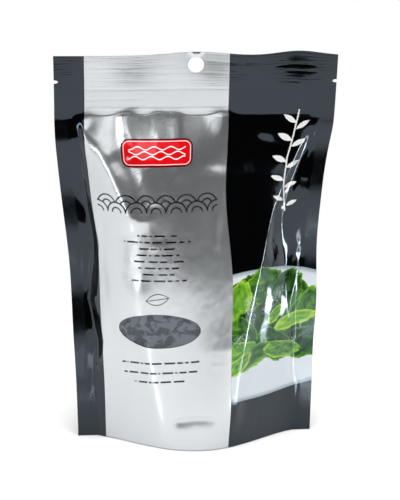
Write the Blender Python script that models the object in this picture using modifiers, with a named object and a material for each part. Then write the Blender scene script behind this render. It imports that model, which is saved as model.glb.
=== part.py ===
"""A sealed stand-up pouch of dried wakame, in metres, +Z up, front towards -Y, standing on z = 0.

Two laminate panels are joined down their sides and across a flat top band. A folded-out gusset
closes the base, a press-to-close zip runs across the band, and a clear film closes an oval window
in the front panel. Crinkled dried wakame fills the lower half.

A place on a panel is (u, v): u across the film from its middle line, v up from the base.
"""

import math
import random

import bpy
import numpy as np
from mathutils import Matrix, Vector

FRONT, BACK = -1, 1

# The films
HALF_WIDTH = 0.080
HEIGHT = 0.228
FILM = 0.00045
LAYER_GAP = 0.0003
SOFT_GAP = 0.0007  # between films that follow one curve with unlike facets

# The filled body: how far each panel swells, and where the swelling ends under the top band
DEPTH = 0.032
SWELL_LENGTH = 0.0378
BODY_TOP = 0.1959
CROWN = 1.36
ARC_SHARE = 0.94 * math.pi / 2
COLUMNS, COLUMN_END = 25, 0.0725  # every film shares these columns, so their facets lie alike
FRONT_ROWS, BACK_ROWS = 28, 17
ROWS_FROM, ROWS_END = -0.0015, 0.0035  # below the ground, which trims the foot, and below the body's top
FOLD_ROW = 0.0005  # below the body's top
BAND_ROWS = (0.2135, 0.2190, 0.2235, HEIGHT)
NORMAL_STEP = 0.0005  # over which a panel's slope is taken
FRONT_SKEW, BACK_SKEW = 0.40, 0.10
SKEW_FROM, SKEW_LENGTH = 0.060, 0.100
MIDDLE_SKEW, MIDDLE_SKEW_AT, MIDDLE_SKEW_SPREAD = 0.095, 0.080, 0.040

# The middle plane: it leans forward to the top, bows back at half height, and the band tips forward
LEAN = 0.0139
BAND_LEAN, BAND_LEAN_FROM = 0.0034, 0.192
BOW, BOW_AT, BOW_SPREAD = 0.0052, 0.100, 0.050
SET_BACK = 0.0004
DRIFT, DRIFT_AT, DRIFT_SPREAD = 0.0020, 0.150, 0.034

# Side seals, which the filling pulls in at half height
SEAL_WIDTH, SEAL_PULL, SEAL_PULL_AT, SEAL_PULL_SPREAD = 0.010, 0.95, 0.085, 0.0425

# The zip, between the panels in the top band. It is set back, so the front stays flat over it
ZIP_AT = 0.2010
ZIP_BASE_HALF, ZIP_BASE_THICK = 0.0030, 0.0004
ZIP_HALF_THICK = 0.00095
ZIP_HALF_LENGTH = 0.070
RIB_HALF, LIP_INNER, LIP_OUTER, ZIP_REACH = 0.0004, 0.00075, 0.00125, 0.00025
ZIP_STEP, ZIP_SHOULDER = 0.0004, 0.0040
ZIP_END_CLOSES = 0.076
SEALED_HALF = FILM + LAYER_GAP / 2
ZIP_BULGE = ZIP_HALF_THICK + LAYER_GAP + FILM - SEALED_HALF

# The waved top edge, and the waves of the sealed band below it
EDGE_WAVES = ((0.0022, 0.000, 0.022), (0.0026, 0.058, 0.017))
BAND_WAVE, BAND_WAVE_LENGTH, BAND_WAVE_FROM = 0.0006, 0.047, 0.208

# Punched and cut openings
HOLE_U, HOLE_V, HOLE_HALF_WIDTH, HOLE_HALF_HEIGHT = -0.0003, 0.2217, 0.0046, 0.0037
NOTCH_V, NOTCH_DEPTH, NOTCH_HALF_HEIGHT = 0.2136, 0.0024, 0.0010
WINDOW_U, WINDOW_V, WINDOW_HALF_WIDTH, WINDOW_HALF_HEIGHT = -0.0248, 0.0727, 0.0253, 0.0103
WINDOW_LAP = 0.0045
WINDOW_LINES = 10
OVAL_SIDES = 40
PUNCH_LENGTH, WINDOW_PUNCH_LENGTH = 0.02, 0.04
GROUND_SIZE = (0.3, 0.2, 0.01)

# The gusset: its seal to each panel is low in the middle and rises to the side seals
GUSSET_FOOT, GUSSET_SEAL_LOW, GUSSET_SEAL_RISE = 0.0012, 0.006, 0.028
GUSSET_FLANGE_SHARE = 0.16
GUSSET_SAG = 0.32  # how far the floor sags below its seals, as a share of its half depth
GUSSET_ROWS, GUSSET_ENDS = 11, 2  # rows across its floor, and columns that each end stops short

# The contents
HEAP_BOTTOM, HEAP_TOP = 0.010, 0.136
HEAP_HALF_WIDTH, HEAP_HALF_DEPTH = 0.041, 0.0208
HEAP_FULLNESS = 2.6  # a higher power fills out the heap's shoulders
CORE_SEGMENTS, CORE_RINGS = 20, 12
FLAKES = 64
GOLDEN_ANGLE = math.pi * (3 - math.sqrt(5))  # spreads the flakes evenly over the heap
FLAKE_LENGTHS, FLAKE_WIDTHS, FLAKE_THICK = (0.011, 0.019), (0.004, 0.0075), 0.0008
FLAKE_SINK, FLAKE_LIFT, FLAKE_TWIST = 0.0020, 0.0052, 0.5
NEARBY = ((0.02, 0.01, 0), (-0.01, 0.02, 0), (0, 0.01, 0.02), (0, -0.01, -0.02))  # for a heap's normal
SEED = 40

# Crests and, with a negative height, valleys: (height, half width, path of (u, v) points)
FRONT_RIDGES = (
    (0.0024, 0.0080, ((-0.071, 0.194), (-0.063, 0.185), (-0.0525, 0.1695), (-0.044, 0.150), (-0.034, 0.128))),
    (0.0020, 0.0090, ((0.069, 0.194), (0.061, 0.174), (0.0535, 0.151), (0.0433, 0.121), (0.0346, 0.0956),
                      (0.0284, 0.067), (0.0223, 0.031), (0.0195, -0.004))),
    (0.0012, 0.0090, ((-0.037, 0.108), (-0.0344, 0.0815), (-0.0309, 0.0628), (-0.0276, 0.0385),
                      (-0.0198, -0.004))),
    (-0.0016, 0.0055, ((-0.069, 0.191), (-0.070, 0.162), (-0.067, 0.119), (-0.070, 0.087), (-0.070, 0.010))),
    (-0.0018, 0.0060, ((0.067, 0.188), (0.066, 0.150), (0.063, 0.118), (0.068, 0.0825), (0.069, 0.020))),
    (0.0010, 0.0060, ((-0.040, 0.199), (-0.037, 0.183), (-0.036, 0.166))),
    (0.0007, 0.0050, ((-0.021, 0.199), (-0.0215, 0.184), (-0.025, 0.162))),
    (0.0007, 0.0050, ((-0.0125, 0.199), (-0.0100, 0.182), (-0.012, 0.156))),
    (0.0009, 0.0065, ((0.016, 0.199), (0.0145, 0.182), (0.012, 0.162))),
    (-0.0012, 0.0070, ((-0.046, 0.176), (-0.036, 0.156), (-0.030, 0.136))),
    (-0.0010, 0.0090, ((0.044, 0.186), (0.036, 0.160), (0.030, 0.130))),
    (0.0034, 0.0330, ((-0.066, 0.095), (0.066, 0.101))),
)
BACK_RIDGES = (
    (0.0022, 0.0090, ((-0.069, 0.194), (-0.058, 0.170), (-0.045, 0.135), (-0.034, 0.095), (-0.026, 0.050),
                      (-0.021, -0.004))),
    (0.0022, 0.0090, ((0.070, 0.194), (0.060, 0.172), (0.049, 0.140), (0.036, 0.100), (0.028, 0.055),
                      (0.023, -0.004))),
    (-0.0014, 0.0070, ((-0.066, 0.186), (-0.067, 0.130), (-0.066, 0.080), (-0.068, 0.020))),
    (-0.0014, 0.0070, ((0.066, 0.186), (0.065, 0.130), (0.067, 0.080), (0.068, 0.020))),
    (0.0014, 0.0070, ((-0.028, 0.196), (-0.024, 0.170))),
    (0.0014, 0.0070, ((0.024, 0.196), (0.021, 0.168))),
)
RIDGE_FADE = 0.16  # share of a ridge's length over which each end dies away
RELIEF_EDGE, RELIEF_FULL = 0.073, 0.062
VALLEY_ROOM = 0.007

COLOURS = {
    "front_film": (0.70, 0.72, 0.74),
    "back_film": (0.03, 0.03, 0.035),
    "gusset_film": (0.03, 0.03, 0.035),
    "window_film": (0.85, 0.88, 0.90),
    "zip_rib_strip": (0.80, 0.82, 0.84),
    "zip_groove_strip": (0.80, 0.82, 0.84),
    "wakame_heap": (0.020, 0.035, 0.022),
}
ROUGHNESS, FILM_METALLIC = 0.3, 0.6
SHARP_ANGLE = math.radians(40)


def bump(x, centre, spread):
    """A smooth hump of height 1."""
    return np.exp(-(((x - centre) / spread) ** 2))


def ease(x, start, end):
    """0 at start, 1 at end, with a smooth step between."""
    t = np.clip((x - start) / (end - start), 0, 1)
    return t * t * (3 - 2 * t)


def near_zip(v):
    """1 over the zip's height, easing to 0 over the shoulders above and below it."""
    return 1 - ease(np.abs(v - ZIP_AT) - ZIP_BASE_HALF, ZIP_STEP, ZIP_SHOULDER)


def spine(v):
    """The middle plane's distance behind the middle of the base."""
    tip = BAND_LEAN * np.clip((v - BAND_LEAN_FROM) / (HEIGHT - BAND_LEAN_FROM), 0, None)
    return SET_BACK - LEAN * v / HEIGHT + BOW * bump(v, BOW_AT, BOW_SPREAD) - tip + ZIP_BULGE * near_zip(v)


def swell(v):
    """How far a panel stands off the middle plane on its middle line."""
    return DEPTH * (1 - np.exp(-np.clip(BODY_TOP - v, 0, None) / SWELL_LENGTH))


def seal_width(v):
    return SEAL_WIDTH * (1 - SEAL_PULL * bump(v, SEAL_PULL_AT, SEAL_PULL_SPREAD))


def half_gap(u, v):
    """Outer face to middle plane where the panels lie together: thin at the seals, thicker at the zip."""
    return SEALED_HALF + ZIP_BULGE * near_zip(v) * (1 - ease(np.abs(u), COLUMN_END, ZIP_END_CLOSES))


def band_wave(u, v):
    """The sealed band's gentle waves, alike on both panels."""
    return BAND_WAVE * np.sin(2 * math.pi * u / BAND_WAVE_LENGTH) * ease(v, BAND_WAVE_FROM, HEIGHT)


def bell(u, v, side):
    """A panel's bell shape in plan, which keeps the film's width on its arc: (x, distance off the seals)."""
    depth = swell(v)
    span = HALF_WIDTH - seal_width(v)
    chord = (span + np.sqrt(span**2 - (ARC_SHARE * depth) ** 2)) / 2
    slope = math.pi * depth / (2 * chord)
    squeeze = slope**2 / (8 * math.pi * (1 + slope**2 / 4))
    across = np.clip(u / span, -1, 1)
    t = across + squeeze * np.sin(2 * math.pi * across)
    x = chord * t + (u - span * across) - DRIFT * bump(v, DRIFT_AT, DRIFT_SPREAD)
    skew = FRONT_SKEW if side == FRONT else BACK_SKEW
    skew = skew * np.clip((v - SKEW_FROM) / SKEW_LENGTH, 0, 1)
    skew = skew + MIDDLE_SKEW * bump(v, MIDDLE_SKEW_AT, MIDDLE_SKEW_SPREAD)
    t = t + skew * (1 - t * t)
    return x, depth * np.clip(np.cos(math.pi * t / 2), 0, 1) ** CROWN


def section(u, v, side):
    """Points on a panel's outer face, without its creases."""
    x, off_seals = bell(u, v, side)
    beside_zip = ZIP_BULGE * near_zip(v) * ease(np.abs(u), COLUMN_END, ZIP_END_CLOSES)
    y = spine(v) - beside_zip + band_wave(u, v) + side * (half_gap(u, v) + off_seals)
    return np.stack([x, y, v + 0 * u], axis=-1)


def ridge(u, v, height, width, path):
    """A rounded crest along a path, dying away at both ends."""
    points = np.array(path)
    lengths = np.hypot(*np.diff(points, axis=0).T)
    total = lengths.sum()
    nearest, share, walked = np.full(u.shape, np.inf), np.zeros(u.shape), 0.0
    for start, end, length in zip(points[:-1], points[1:], lengths):
        step = (end - start) / length
        along = np.clip((u - start[0]) * step[0] + (v - start[1]) * step[1], 0, length)
        away = np.hypot(u - start[0] - along * step[0], v - start[1] - along * step[1])
        closer = away < nearest
        nearest = np.where(closer, away, nearest)
        share = np.where(closer, (walked + along) / total, share)
        walked += length
    fade = ease(share, 0, RIDGE_FADE) * (1 - ease(share, 1 - RIDGE_FADE, 1))
    return height * bump(nearest, 0, width) * fade


def relief(u, v, side):
    """The creases' height off the plain panel. A valley never reaches the other panel."""
    ridges = FRONT_RIDGES if side == FRONT else BACK_RIDGES
    height = sum(ridge(u, v, *values) for values in ridges)
    room = ease(bell(u, v, side)[1], 0, VALLEY_ROOM)
    return np.where(height < 0, height * room, height) * (1 - ease(np.abs(u), RELIEF_FULL, RELIEF_EDGE))


def panel(u, v, side, inset=0.0):
    """Points on a panel's outer face with its creases, or on a layer inset behind it."""
    across = section(u + NORMAL_STEP, v, side) - section(u - NORMAL_STEP, v, side)
    up = section(u, v + NORMAL_STEP, side) - section(u, v - NORMAL_STEP, side)
    out = np.cross(across, up) * -side
    out /= np.linalg.norm(out, axis=-1, keepdims=True)
    return section(u, v, side) + out * (relief(u, v, side) - inset)[..., None]


def edge_height(u):
    """The top edge's height, which waves along the pouch."""
    return HEIGHT + sum(height * bump(u, at, spread) for height, at, spread in EDGE_WAVES)


def principled(name):
    material = bpy.data.materials.new(name)
    material.use_nodes = True
    shader = material.node_tree.nodes["Principled BSDF"]
    shader.inputs["Base Color"].default_value = (*COLOURS[name], 1)
    shader.inputs["Roughness"].default_value = ROUGHNESS
    shader.inputs["Metallic"].default_value = FILM_METALLIC if name == "front_film" else 0.0
    return material


def bent_grid(name, columns, rows, place):
    """A grid whose vertex (i, j) goes to place(columns[i], rows[j])."""
    bpy.ops.mesh.primitive_grid_add(x_subdivisions=len(columns) - 1, y_subdivisions=len(rows) - 1, size=1)
    sheet = bpy.context.object
    sheet.name = name
    sheet.data.name = name
    flat = np.empty(len(sheet.data.vertices) * 3)
    sheet.data.vertices.foreach_get("co", flat)
    flat = flat.reshape(-1, 3)
    i = np.rint((flat[:, 0] + 0.5) * (len(columns) - 1)).astype(int)
    j = np.rint((flat[:, 1] + 0.5) * (len(rows) - 1)).astype(int)
    sheet.data.vertices.foreach_set("co", place(np.asarray(columns)[i], np.asarray(rows)[j]).ravel())
    sheet.data.update()
    return sheet


def thicken(sheet, thickness, offset):
    """Gives an open sheet its thickness: offset -1 behind its face, 1 in front of it."""
    solidify = sheet.modifiers.new("thickness", "SOLIDIFY")
    solidify.thickness = thickness
    solidify.offset = offset
    solidify.use_even_offset = True


def move_to(obj, collection):
    for owner in list(obj.users_collection):
        owner.objects.unlink(obj)
    collection.objects.link(obj)


def cut(piece, cutter):
    modifier = piece.modifiers.new(cutter.name, "BOOLEAN")
    modifier.operation = "DIFFERENCE"
    modifier.object = cutter


def as_cutter(obj, name, collection):
    obj.name = name
    obj.hide_render = True
    obj.display_type = "WIRE"
    move_to(obj, collection)
    return obj


def oval_cutter(name, centre, half_width, half_height, turn, length, collection):
    """An oval rod that runs along Y, turned about Z."""
    bpy.ops.mesh.primitive_cylinder_add(vertices=OVAL_SIDES, radius=1, depth=length, location=centre)
    rod = bpy.context.object
    rod.rotation_euler = (math.pi / 2, 0, turn)
    rod.scale = (half_width, half_height, 1)
    return as_cutter(rod, name, collection)


def make_cutters(collection):
    hole_at = panel(np.array(HOLE_U), np.array(HOLE_V), FRONT)
    hole = oval_cutter(
        "hang_hole_cutter", hole_at, HOLE_HALF_WIDTH, HOLE_HALF_HEIGHT, 0, PUNCH_LENGTH, collection
    )
    notches = []
    for name, end in (("left_notch_cutter", -1), ("right_notch_cutter", 1)):
        at = panel(np.array(end * HALF_WIDTH), np.array(NOTCH_V), FRONT)
        notches.append(
            oval_cutter(name, at, NOTCH_DEPTH, NOTCH_HALF_HEIGHT, 0, PUNCH_LENGTH, collection)
        )
    ends = panel(WINDOW_U + WINDOW_HALF_WIDTH * np.array([-1, 1]), np.array([WINDOW_V] * 2), FRONT)
    chord = ends[1] - ends[0]
    middle = panel(np.array(WINDOW_U), np.array(WINDOW_V), FRONT)
    turn = math.atan2(chord[1], chord[0])
    half_width = float(np.hypot(chord[0], chord[1])) / 2
    window = oval_cutter(
        "window_cutter", middle, half_width, WINDOW_HALF_HEIGHT, turn, WINDOW_PUNCH_LENGTH, collection
    )
    bpy.ops.mesh.primitive_cube_add(size=1, location=(0, 0, -GROUND_SIZE[2] / 2), scale=GROUND_SIZE)
    ground = as_cutter(bpy.context.object, "ground_cutter", collection)
    return {"hole": hole, "notches": notches, "window": window, "ground": ground}


def panel_rows(body_rows):
    """Row heights as shares: v below the band, the zip's shoulders, then the band to the top edge."""
    body = np.linspace(ROWS_FROM, BODY_TOP - ROWS_END, body_rows)
    shoulders = ZIP_AT + np.array([-1, 1]) * (ZIP_BASE_HALF + ZIP_STEP)
    band = [BODY_TOP - FOLD_ROW, *shoulders, ZIP_AT + ZIP_BASE_HALF + ZIP_SHOULDER, *BAND_ROWS]
    return np.concatenate([body, band])


def body_columns():
    return np.linspace(-COLUMN_END, COLUMN_END, COLUMNS)


def panel_columns():
    return np.concatenate([[-HALF_WIDTH, -ZIP_END_CLOSES], body_columns(), [ZIP_END_CLOSES, HALF_WIDTH]])


def raised_to_edge(u, v):
    """Stretches the top of the band up to the waved top edge."""
    return v + (edge_height(u) - HEIGHT) * ease(v, NOTCH_V, HEIGHT)


def make_panel(name, side, rows, cutters):
    def place(u, v):
        u = u if side == FRONT else -u
        points = panel(u, v, side)
        points[:, 2] = points[:, 2] + raised_to_edge(u, v) - v
        return points

    sheet = bent_grid(name, panel_columns(), panel_rows(rows), place)
    thicken(sheet, FILM, -1)
    for cutter in cutters:
        cut(sheet, cutter)
    return sheet


def make_window_film():
    """An oval patch that laps behind the opening, from a square grid drawn in to a disc."""
    lines = np.linspace(-1, 1, WINDOW_LINES)

    def place(a, b):
        across = a * np.sqrt(1 - b * b / 2) * (WINDOW_HALF_WIDTH + WINDOW_LAP)
        up = b * np.sqrt(1 - a * a / 2) * (WINDOW_HALF_HEIGHT + WINDOW_LAP)
        return panel(WINDOW_U + across, WINDOW_V + up, FRONT, FILM + SOFT_GAP)

    sheet = bent_grid("window_film", lines, lines, place)
    thicken(sheet, FILM, -1)
    return sheet


def gusset_seal(u):
    return GUSSET_SEAL_LOW + GUSSET_SEAL_RISE * (u / COLUMN_END) ** 2


def gusset_wall(u, v, side):
    """The gusset's inner face where it is sealed to a panel."""
    return panel(u, v, side, 2 * FILM + SOFT_GAP)


def gusset_place(u, b):
    """b runs from the front foot up the flange, across the floor and down to the back foot."""
    seal = gusset_seal(u)
    climb = np.clip(np.minimum(b, 1 - b) / GUSSET_FLANGE_SHARE, 0, 1)
    v = GUSSET_FOOT + (seal - GUSSET_FOOT) * climb
    front, back = gusset_wall(u, v, FRONT), gusset_wall(u, v, BACK)
    across = np.clip((b - GUSSET_FLANGE_SHARE) / (1 - 2 * GUSSET_FLANGE_SHARE), 0, 1)
    points = front + (back - front) * across[:, None]
    half_depth = (back - front)[:, 1] / 2
    floor = seal - GUSSET_SAG * half_depth * (1 - (2 * across - 1) ** 2)
    points[:, 2] = np.where(climb >= 1, np.clip(floor, 0, None), points[:, 2])
    return points


def make_gusset():
    share = GUSSET_FLANGE_SHARE
    floor_rows = np.linspace(share, 1 - share, GUSSET_ROWS)
    rows = np.concatenate([[0, share / 2], floor_rows, [1 - share / 2, 1]])
    sheet = bent_grid("gusset_film", body_columns()[GUSSET_ENDS:-GUSSET_ENDS], rows, gusset_place)
    thicken(sheet, FILM, 1)
    return sheet


def make_zip_strip(name, outline):
    """A strip with the given outline in its (across, up) plane, drawn out along the band."""
    curve = bpy.data.curves.new(name, "CURVE")
    curve.dimensions = "2D"
    curve.fill_mode = "BOTH"
    curve.extrude = ZIP_HALF_LENGTH
    spline = curve.splines.new("POLY")
    spline.points.add(len(outline) - 1)
    for point, (across, up) in zip(spline.points, outline):
        point.co = (across, up, 0, 1)
    spline.use_cyclic_u = True
    strip = bpy.data.objects.new(name, curve)
    rise = float(spine(ZIP_AT + NORMAL_STEP) - spine(ZIP_AT - NORMAL_STEP))
    lean = math.atan2(rise, 2 * NORMAL_STEP)
    upright = Matrix(((0, 0, 1), (1, 0, 0), (0, 1, 0))).to_4x4()
    strip.matrix_world = (
        Matrix.Translation((0, float(spine(ZIP_AT)), ZIP_AT)) @ Matrix.Rotation(-lean, 4, "X") @ upright
    )
    bpy.context.scene.collection.objects.link(strip)
    return strip


def make_zip():
    """A rib on the front strip sits between two lips on the back strip."""
    thick, base = ZIP_HALF_THICK, ZIP_HALF_THICK - ZIP_BASE_THICK
    rib = [
        (-thick, -ZIP_BASE_HALF), (-base, -ZIP_BASE_HALF), (-base, -RIB_HALF), (ZIP_REACH, -RIB_HALF),
        (ZIP_REACH, RIB_HALF), (-base, RIB_HALF), (-base, ZIP_BASE_HALF), (-thick, ZIP_BASE_HALF),
    ]
    half = [(base, LIP_INNER), (-ZIP_REACH, LIP_INNER), (-ZIP_REACH, LIP_OUTER), (base, LIP_OUTER),
            (base, ZIP_BASE_HALF), (thick, ZIP_BASE_HALF)]
    groove = half + [(across, -up) for across, up in reversed(half)]
    return [make_zip_strip("zip_rib_strip", rib), make_zip_strip("zip_groove_strip", groove)]


def heap_point(direction):
    """Where a unit direction from the heap's middle meets its core."""
    v = HEAP_BOTTOM + (HEAP_TOP - HEAP_BOTTOM) * (direction.z + 1) / 2
    fullness = (1 - abs(direction.z) ** HEAP_FULLNESS) ** 0.5
    round_plan = math.hypot(direction.x, direction.y) or 1.0
    depth = HEAP_HALF_DEPTH * float(swell(v)) / DEPTH
    return Vector((
        HEAP_HALF_WIDTH * fullness * direction.x / round_plan,
        float(spine(v)) + depth * fullness * direction.y / round_plan,
        v,
    ))


def make_flake(index, draw, collection):
    """A dried scrap: a curled strip whose middle is sunk in the core and whose ends stand up."""
    length, width = draw.uniform(*FLAKE_LENGTHS), draw.uniform(*FLAKE_WIDTHS)
    lift = FLAKE_LIFT * draw.uniform(0.5, 1.0)
    twist = draw.uniform(-FLAKE_TWIST, FLAKE_TWIST)

    def place(a, b):
        side = b * width / 2 * (1 - 0.5 * a * a)
        turn = twist * a
        height = lift * a * a + side * np.sin(turn) * 0.5
        return np.stack([a * length / 2, side * np.cos(turn), height], axis=-1)

    flake = bent_grid(f"flake_{index}", np.linspace(-1, 1, 4), np.array([-1.0, 1.0]), place)
    thicken(flake, FLAKE_THICK, 0)
    polar, height = GOLDEN_ANGLE * index, 1 - 2 * (index + 0.5) / FLAKES
    ring = math.sqrt(1 - height * height)
    direction = Vector((ring * math.cos(polar), ring * math.sin(polar), height))
    at = heap_point(direction)
    nearby = [heap_point((direction + Vector(nudge)).normalized()) for nudge in NEARBY]
    normal = (nearby[0] - nearby[1]).cross(nearby[2] - nearby[3]).normalized()
    if normal.dot(at - Vector((0, float(spine(at.z)), (HEAP_BOTTOM + HEAP_TOP) / 2))) < 0:
        normal.negate()
    facing = normal.to_track_quat("Z", "X").to_matrix().to_4x4()
    spin = Matrix.Rotation(draw.uniform(0, math.pi), 4, "Z")
    flake.matrix_world = Matrix.Translation(at - normal * FLAKE_SINK) @ facing @ spin
    move_to(flake, collection)
    return flake


def make_heap():
    """A slim core with curled flakes standing out of it, joined into one body."""
    bpy.ops.mesh.primitive_uv_sphere_add(segments=CORE_SEGMENTS, ring_count=CORE_RINGS, radius=1)
    core = bpy.context.object
    core.name = "heap_core"
    for vertex in core.data.vertices:
        vertex.co = heap_point(vertex.co.normalized())
    flakes = bpy.data.collections.new("flakes")
    bpy.context.scene.collection.children.link(flakes)
    draw = random.Random(SEED)
    pieces = [make_flake(index, draw, flakes) for index in range(FLAKES)]
    union = core.modifiers.new("flakes", "BOOLEAN")
    union.operation = "UNION"
    union.operand_type = "COLLECTION"
    union.collection = flakes
    union.solver = "MANIFOLD"
    graph = bpy.context.evaluated_depsgraph_get()
    heap = bpy.data.objects.new("wakame_heap", bpy.data.meshes.new_from_object(core.evaluated_get(graph)))
    bpy.context.scene.collection.objects.link(heap)
    for obj in (*pieces, core):
        bpy.data.objects.remove(obj)
    bpy.data.collections.remove(flakes)
    return heap


def make_pouch():
    for obj in list(bpy.data.objects):
        bpy.data.objects.remove(obj)
    parts = bpy.data.collections.new("stand_up_pouch")
    tools = bpy.data.collections.new("cutters")
    for collection in (parts, tools):
        bpy.context.scene.collection.children.link(collection)
    cutters = make_cutters(tools)
    shared = [cutters["ground"], cutters["hole"], *cutters["notches"]]
    pieces = [
        make_panel("front_film", FRONT, FRONT_ROWS, [*shared, cutters["window"]]),
        make_panel("back_film", BACK, BACK_ROWS, shared),
        make_window_film(),
        make_gusset(),
        *make_zip(),
        make_heap(),
    ]
    middle = bpy.data.objects.new("pouch_middle", None)
    parts.objects.link(middle)
    for piece in pieces:
        move_to(piece, parts)
        piece.parent = middle
        piece.data.materials.clear()
        piece.data.materials.append(principled(piece.name))
        if piece.type == "MESH":
            piece.data.shade_smooth()
            piece.data.set_sharp_from_angle(angle=SHARP_ANGLE)


make_pouch()
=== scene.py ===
"""The look of a sealed stand-up pouch of dried wakame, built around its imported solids.

A place on a film is (u, v): u across the film from its middle line, v up from the base. The film's
creases and its print are listed in millimetres; the rest is in metres, +Z up, the front towards -Y.
"""

import functools
import math
import random

import bmesh
import bpy
import numpy as np
from mathutils import Matrix, Vector, noise


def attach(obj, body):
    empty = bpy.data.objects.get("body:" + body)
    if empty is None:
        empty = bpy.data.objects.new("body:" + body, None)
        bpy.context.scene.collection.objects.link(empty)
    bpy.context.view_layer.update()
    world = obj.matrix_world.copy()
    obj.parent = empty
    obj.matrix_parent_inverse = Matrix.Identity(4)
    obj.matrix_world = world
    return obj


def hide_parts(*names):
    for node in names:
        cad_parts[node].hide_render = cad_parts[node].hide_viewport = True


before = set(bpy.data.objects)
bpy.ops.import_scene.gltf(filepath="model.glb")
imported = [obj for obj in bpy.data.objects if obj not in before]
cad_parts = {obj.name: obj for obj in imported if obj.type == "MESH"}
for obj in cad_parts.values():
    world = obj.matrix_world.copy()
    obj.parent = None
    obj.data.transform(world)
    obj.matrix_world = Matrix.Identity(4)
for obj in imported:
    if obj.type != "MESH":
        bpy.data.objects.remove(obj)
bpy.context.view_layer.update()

bl_info = {
    "name": "Stand-up pouch of dried wakame",
    "version": (1, 0, 0),
    "blender": (4, 5, 0),
    "location": "View3D > Sidebar > Pouch",
    "description": "Builds a sealed stand-up pouch of dried wakame and its studio stage",
    "category": "Object",
}

BODY = "root"
MM = 0.001
FRONT, BACK = -1, 1

# The films and the filled body, as in the solids
HALF_WIDTH, HEIGHT, FILM, LAYER_GAP = 0.080, 0.228, 0.00045, 0.0003
DEPTH, SWELL_LENGTH, BODY_TOP = 0.032, 0.0378, 0.1959
CROWN, ARC_SHARE = 1.36, 0.94 * math.pi / 2
FRONT_SKEW, BACK_SKEW, SKEW_FROM, SKEW_LENGTH = 0.40, 0.10, 0.060, 0.100
MIDDLE_SKEW, MIDDLE_SKEW_AT, MIDDLE_SKEW_SPREAD = 0.095, 0.080, 0.040
LEAN, BOW, BOW_AT, BOW_SPREAD, SET_BACK = 0.0139, 0.0052, 0.100, 0.050, 0.0004
BAND_LEAN, BAND_LEAN_FROM = 0.0034, 0.192
DRIFT, DRIFT_AT, DRIFT_SPREAD = 0.0020, 0.150, 0.034
SEAL_WIDTH, SEAL_PULL, SEAL_PULL_AT, SEAL_PULL_SPREAD = 0.010, 0.95, 0.085, 0.0425
ZIP_AT, ZIP_BASE_HALF, ZIP_HALF_THICK = 0.2010, 0.0030, 0.00095
ZIP_STEP, ZIP_SHOULDER, ZIP_END_OPENS, ZIP_END_CLOSES = 0.0004, 0.0040, 0.0725, 0.076
SEALED_HALF = FILM + LAYER_GAP / 2
ZIP_BULGE = ZIP_HALF_THICK + LAYER_GAP + FILM - SEALED_HALF
EDGE_WAVES = ((0.0022, 0.000, 0.022), (0.0026, 0.058, 0.017))
BAND_WAVE, BAND_WAVE_LENGTH, BAND_WAVE_FROM = 0.0006, 0.047, 0.208
HOLE_OVAL = (-0.0003, 0.2217, 0.0046, 0.0037)  # middle u and v, half width, half height
NOTCH_V, NOTCH_DEPTH, NOTCH_HALF_HEIGHT, NOTCH_REACH = 0.2136, 0.0024, 0.0010, 0.006
WINDOW_OVAL = (-0.0248, 0.0727, 0.0253, 0.0103)
WINDOW_LAP, WINDOW_GAP, WINDOW_THICKNESS = 0.0035, 0.00015, 0.00012
GUSSET_FOOT, GUSSET_SEAL_LOW, GUSSET_SEAL_RISE = 0.0012, 0.006, 0.028
GUSSET_END, GUSSET_FLANGE_SHARE, GUSSET_SAG, GUSSET_GAP = 0.0725, 0.16, 0.32, 0.0003
GUSSET_REACH = GUSSET_END * 5 / 6
HEAP_BOTTOM, HEAP_TOP, HEAP_HALF_WIDTH, HEAP_HALF_DEPTH = 0.010, 0.136, 0.041, 0.0208
HEAP_SQUARE = 2.6  # 2 for an egg-shaped heap, more for a fuller one

# The heap's dark core: its share of the heap's size, the height of the middle line that it stands
# on, and its crumples as (scale, share)
CORE_SHARE, CORE_STANDS_AT, CORE_CRUMPLES = 0.90, 0.07, ((9, 0.10), (24, 0.06))
# What is drawn for each scrap: shares of the middling length, turns in radians and its lift
FLAKE_LENGTHS, FLAKE_WIDTHS, FLAKE_LIFTS = (0.5, 1.25), (0.18, 0.42), (-0.0015, 0.0020)
FLAKE_CURLS, FLAKE_TWISTS, FLAKE_PHASES, FLAKE_TIPS = (0.5, 2.4), (-1.2, 1.2), (0, 6), (-0.6, 0.6)

# The body's top line dips between the pinches that gather the film under the band: (u, spread)
TOP_DIP, DIP_FADE = 0.0016, (0.160, 0.186)
PINCHES = ((-0.0399, 0.0060), (-0.0212, 0.0055), (-0.0126, 0.0050), (0.0160, 0.0060), (0.0692, 0.0100),
           (-0.0714, 0.0080))

# The pressed side seals' inner lines, in millimetres from the base up: (v, distance from the middle)
LEFT_SEAL_LINE = (
    (0, 70.0), (10, 70.3), (34, 71.5), (61, 67.5), (85, 71.4), (104, 69.3), (120, 67.3),
    (150, 69.1), (162, 70.8), (170, 70.9), (176, 69.6), (185, 70.5),
)
RIGHT_SEAL_LINE = (
    (0, 72.5), (20, 73.2), (47, 70.2), (82, 69.0), (107, 72.7), (142, 72.5), (171, 71.4),
    (185, 69.4),
)
SEAL_RISE, SEAL_PRESS_TOP = 0.0055, (0.180, 0.190)

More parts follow.
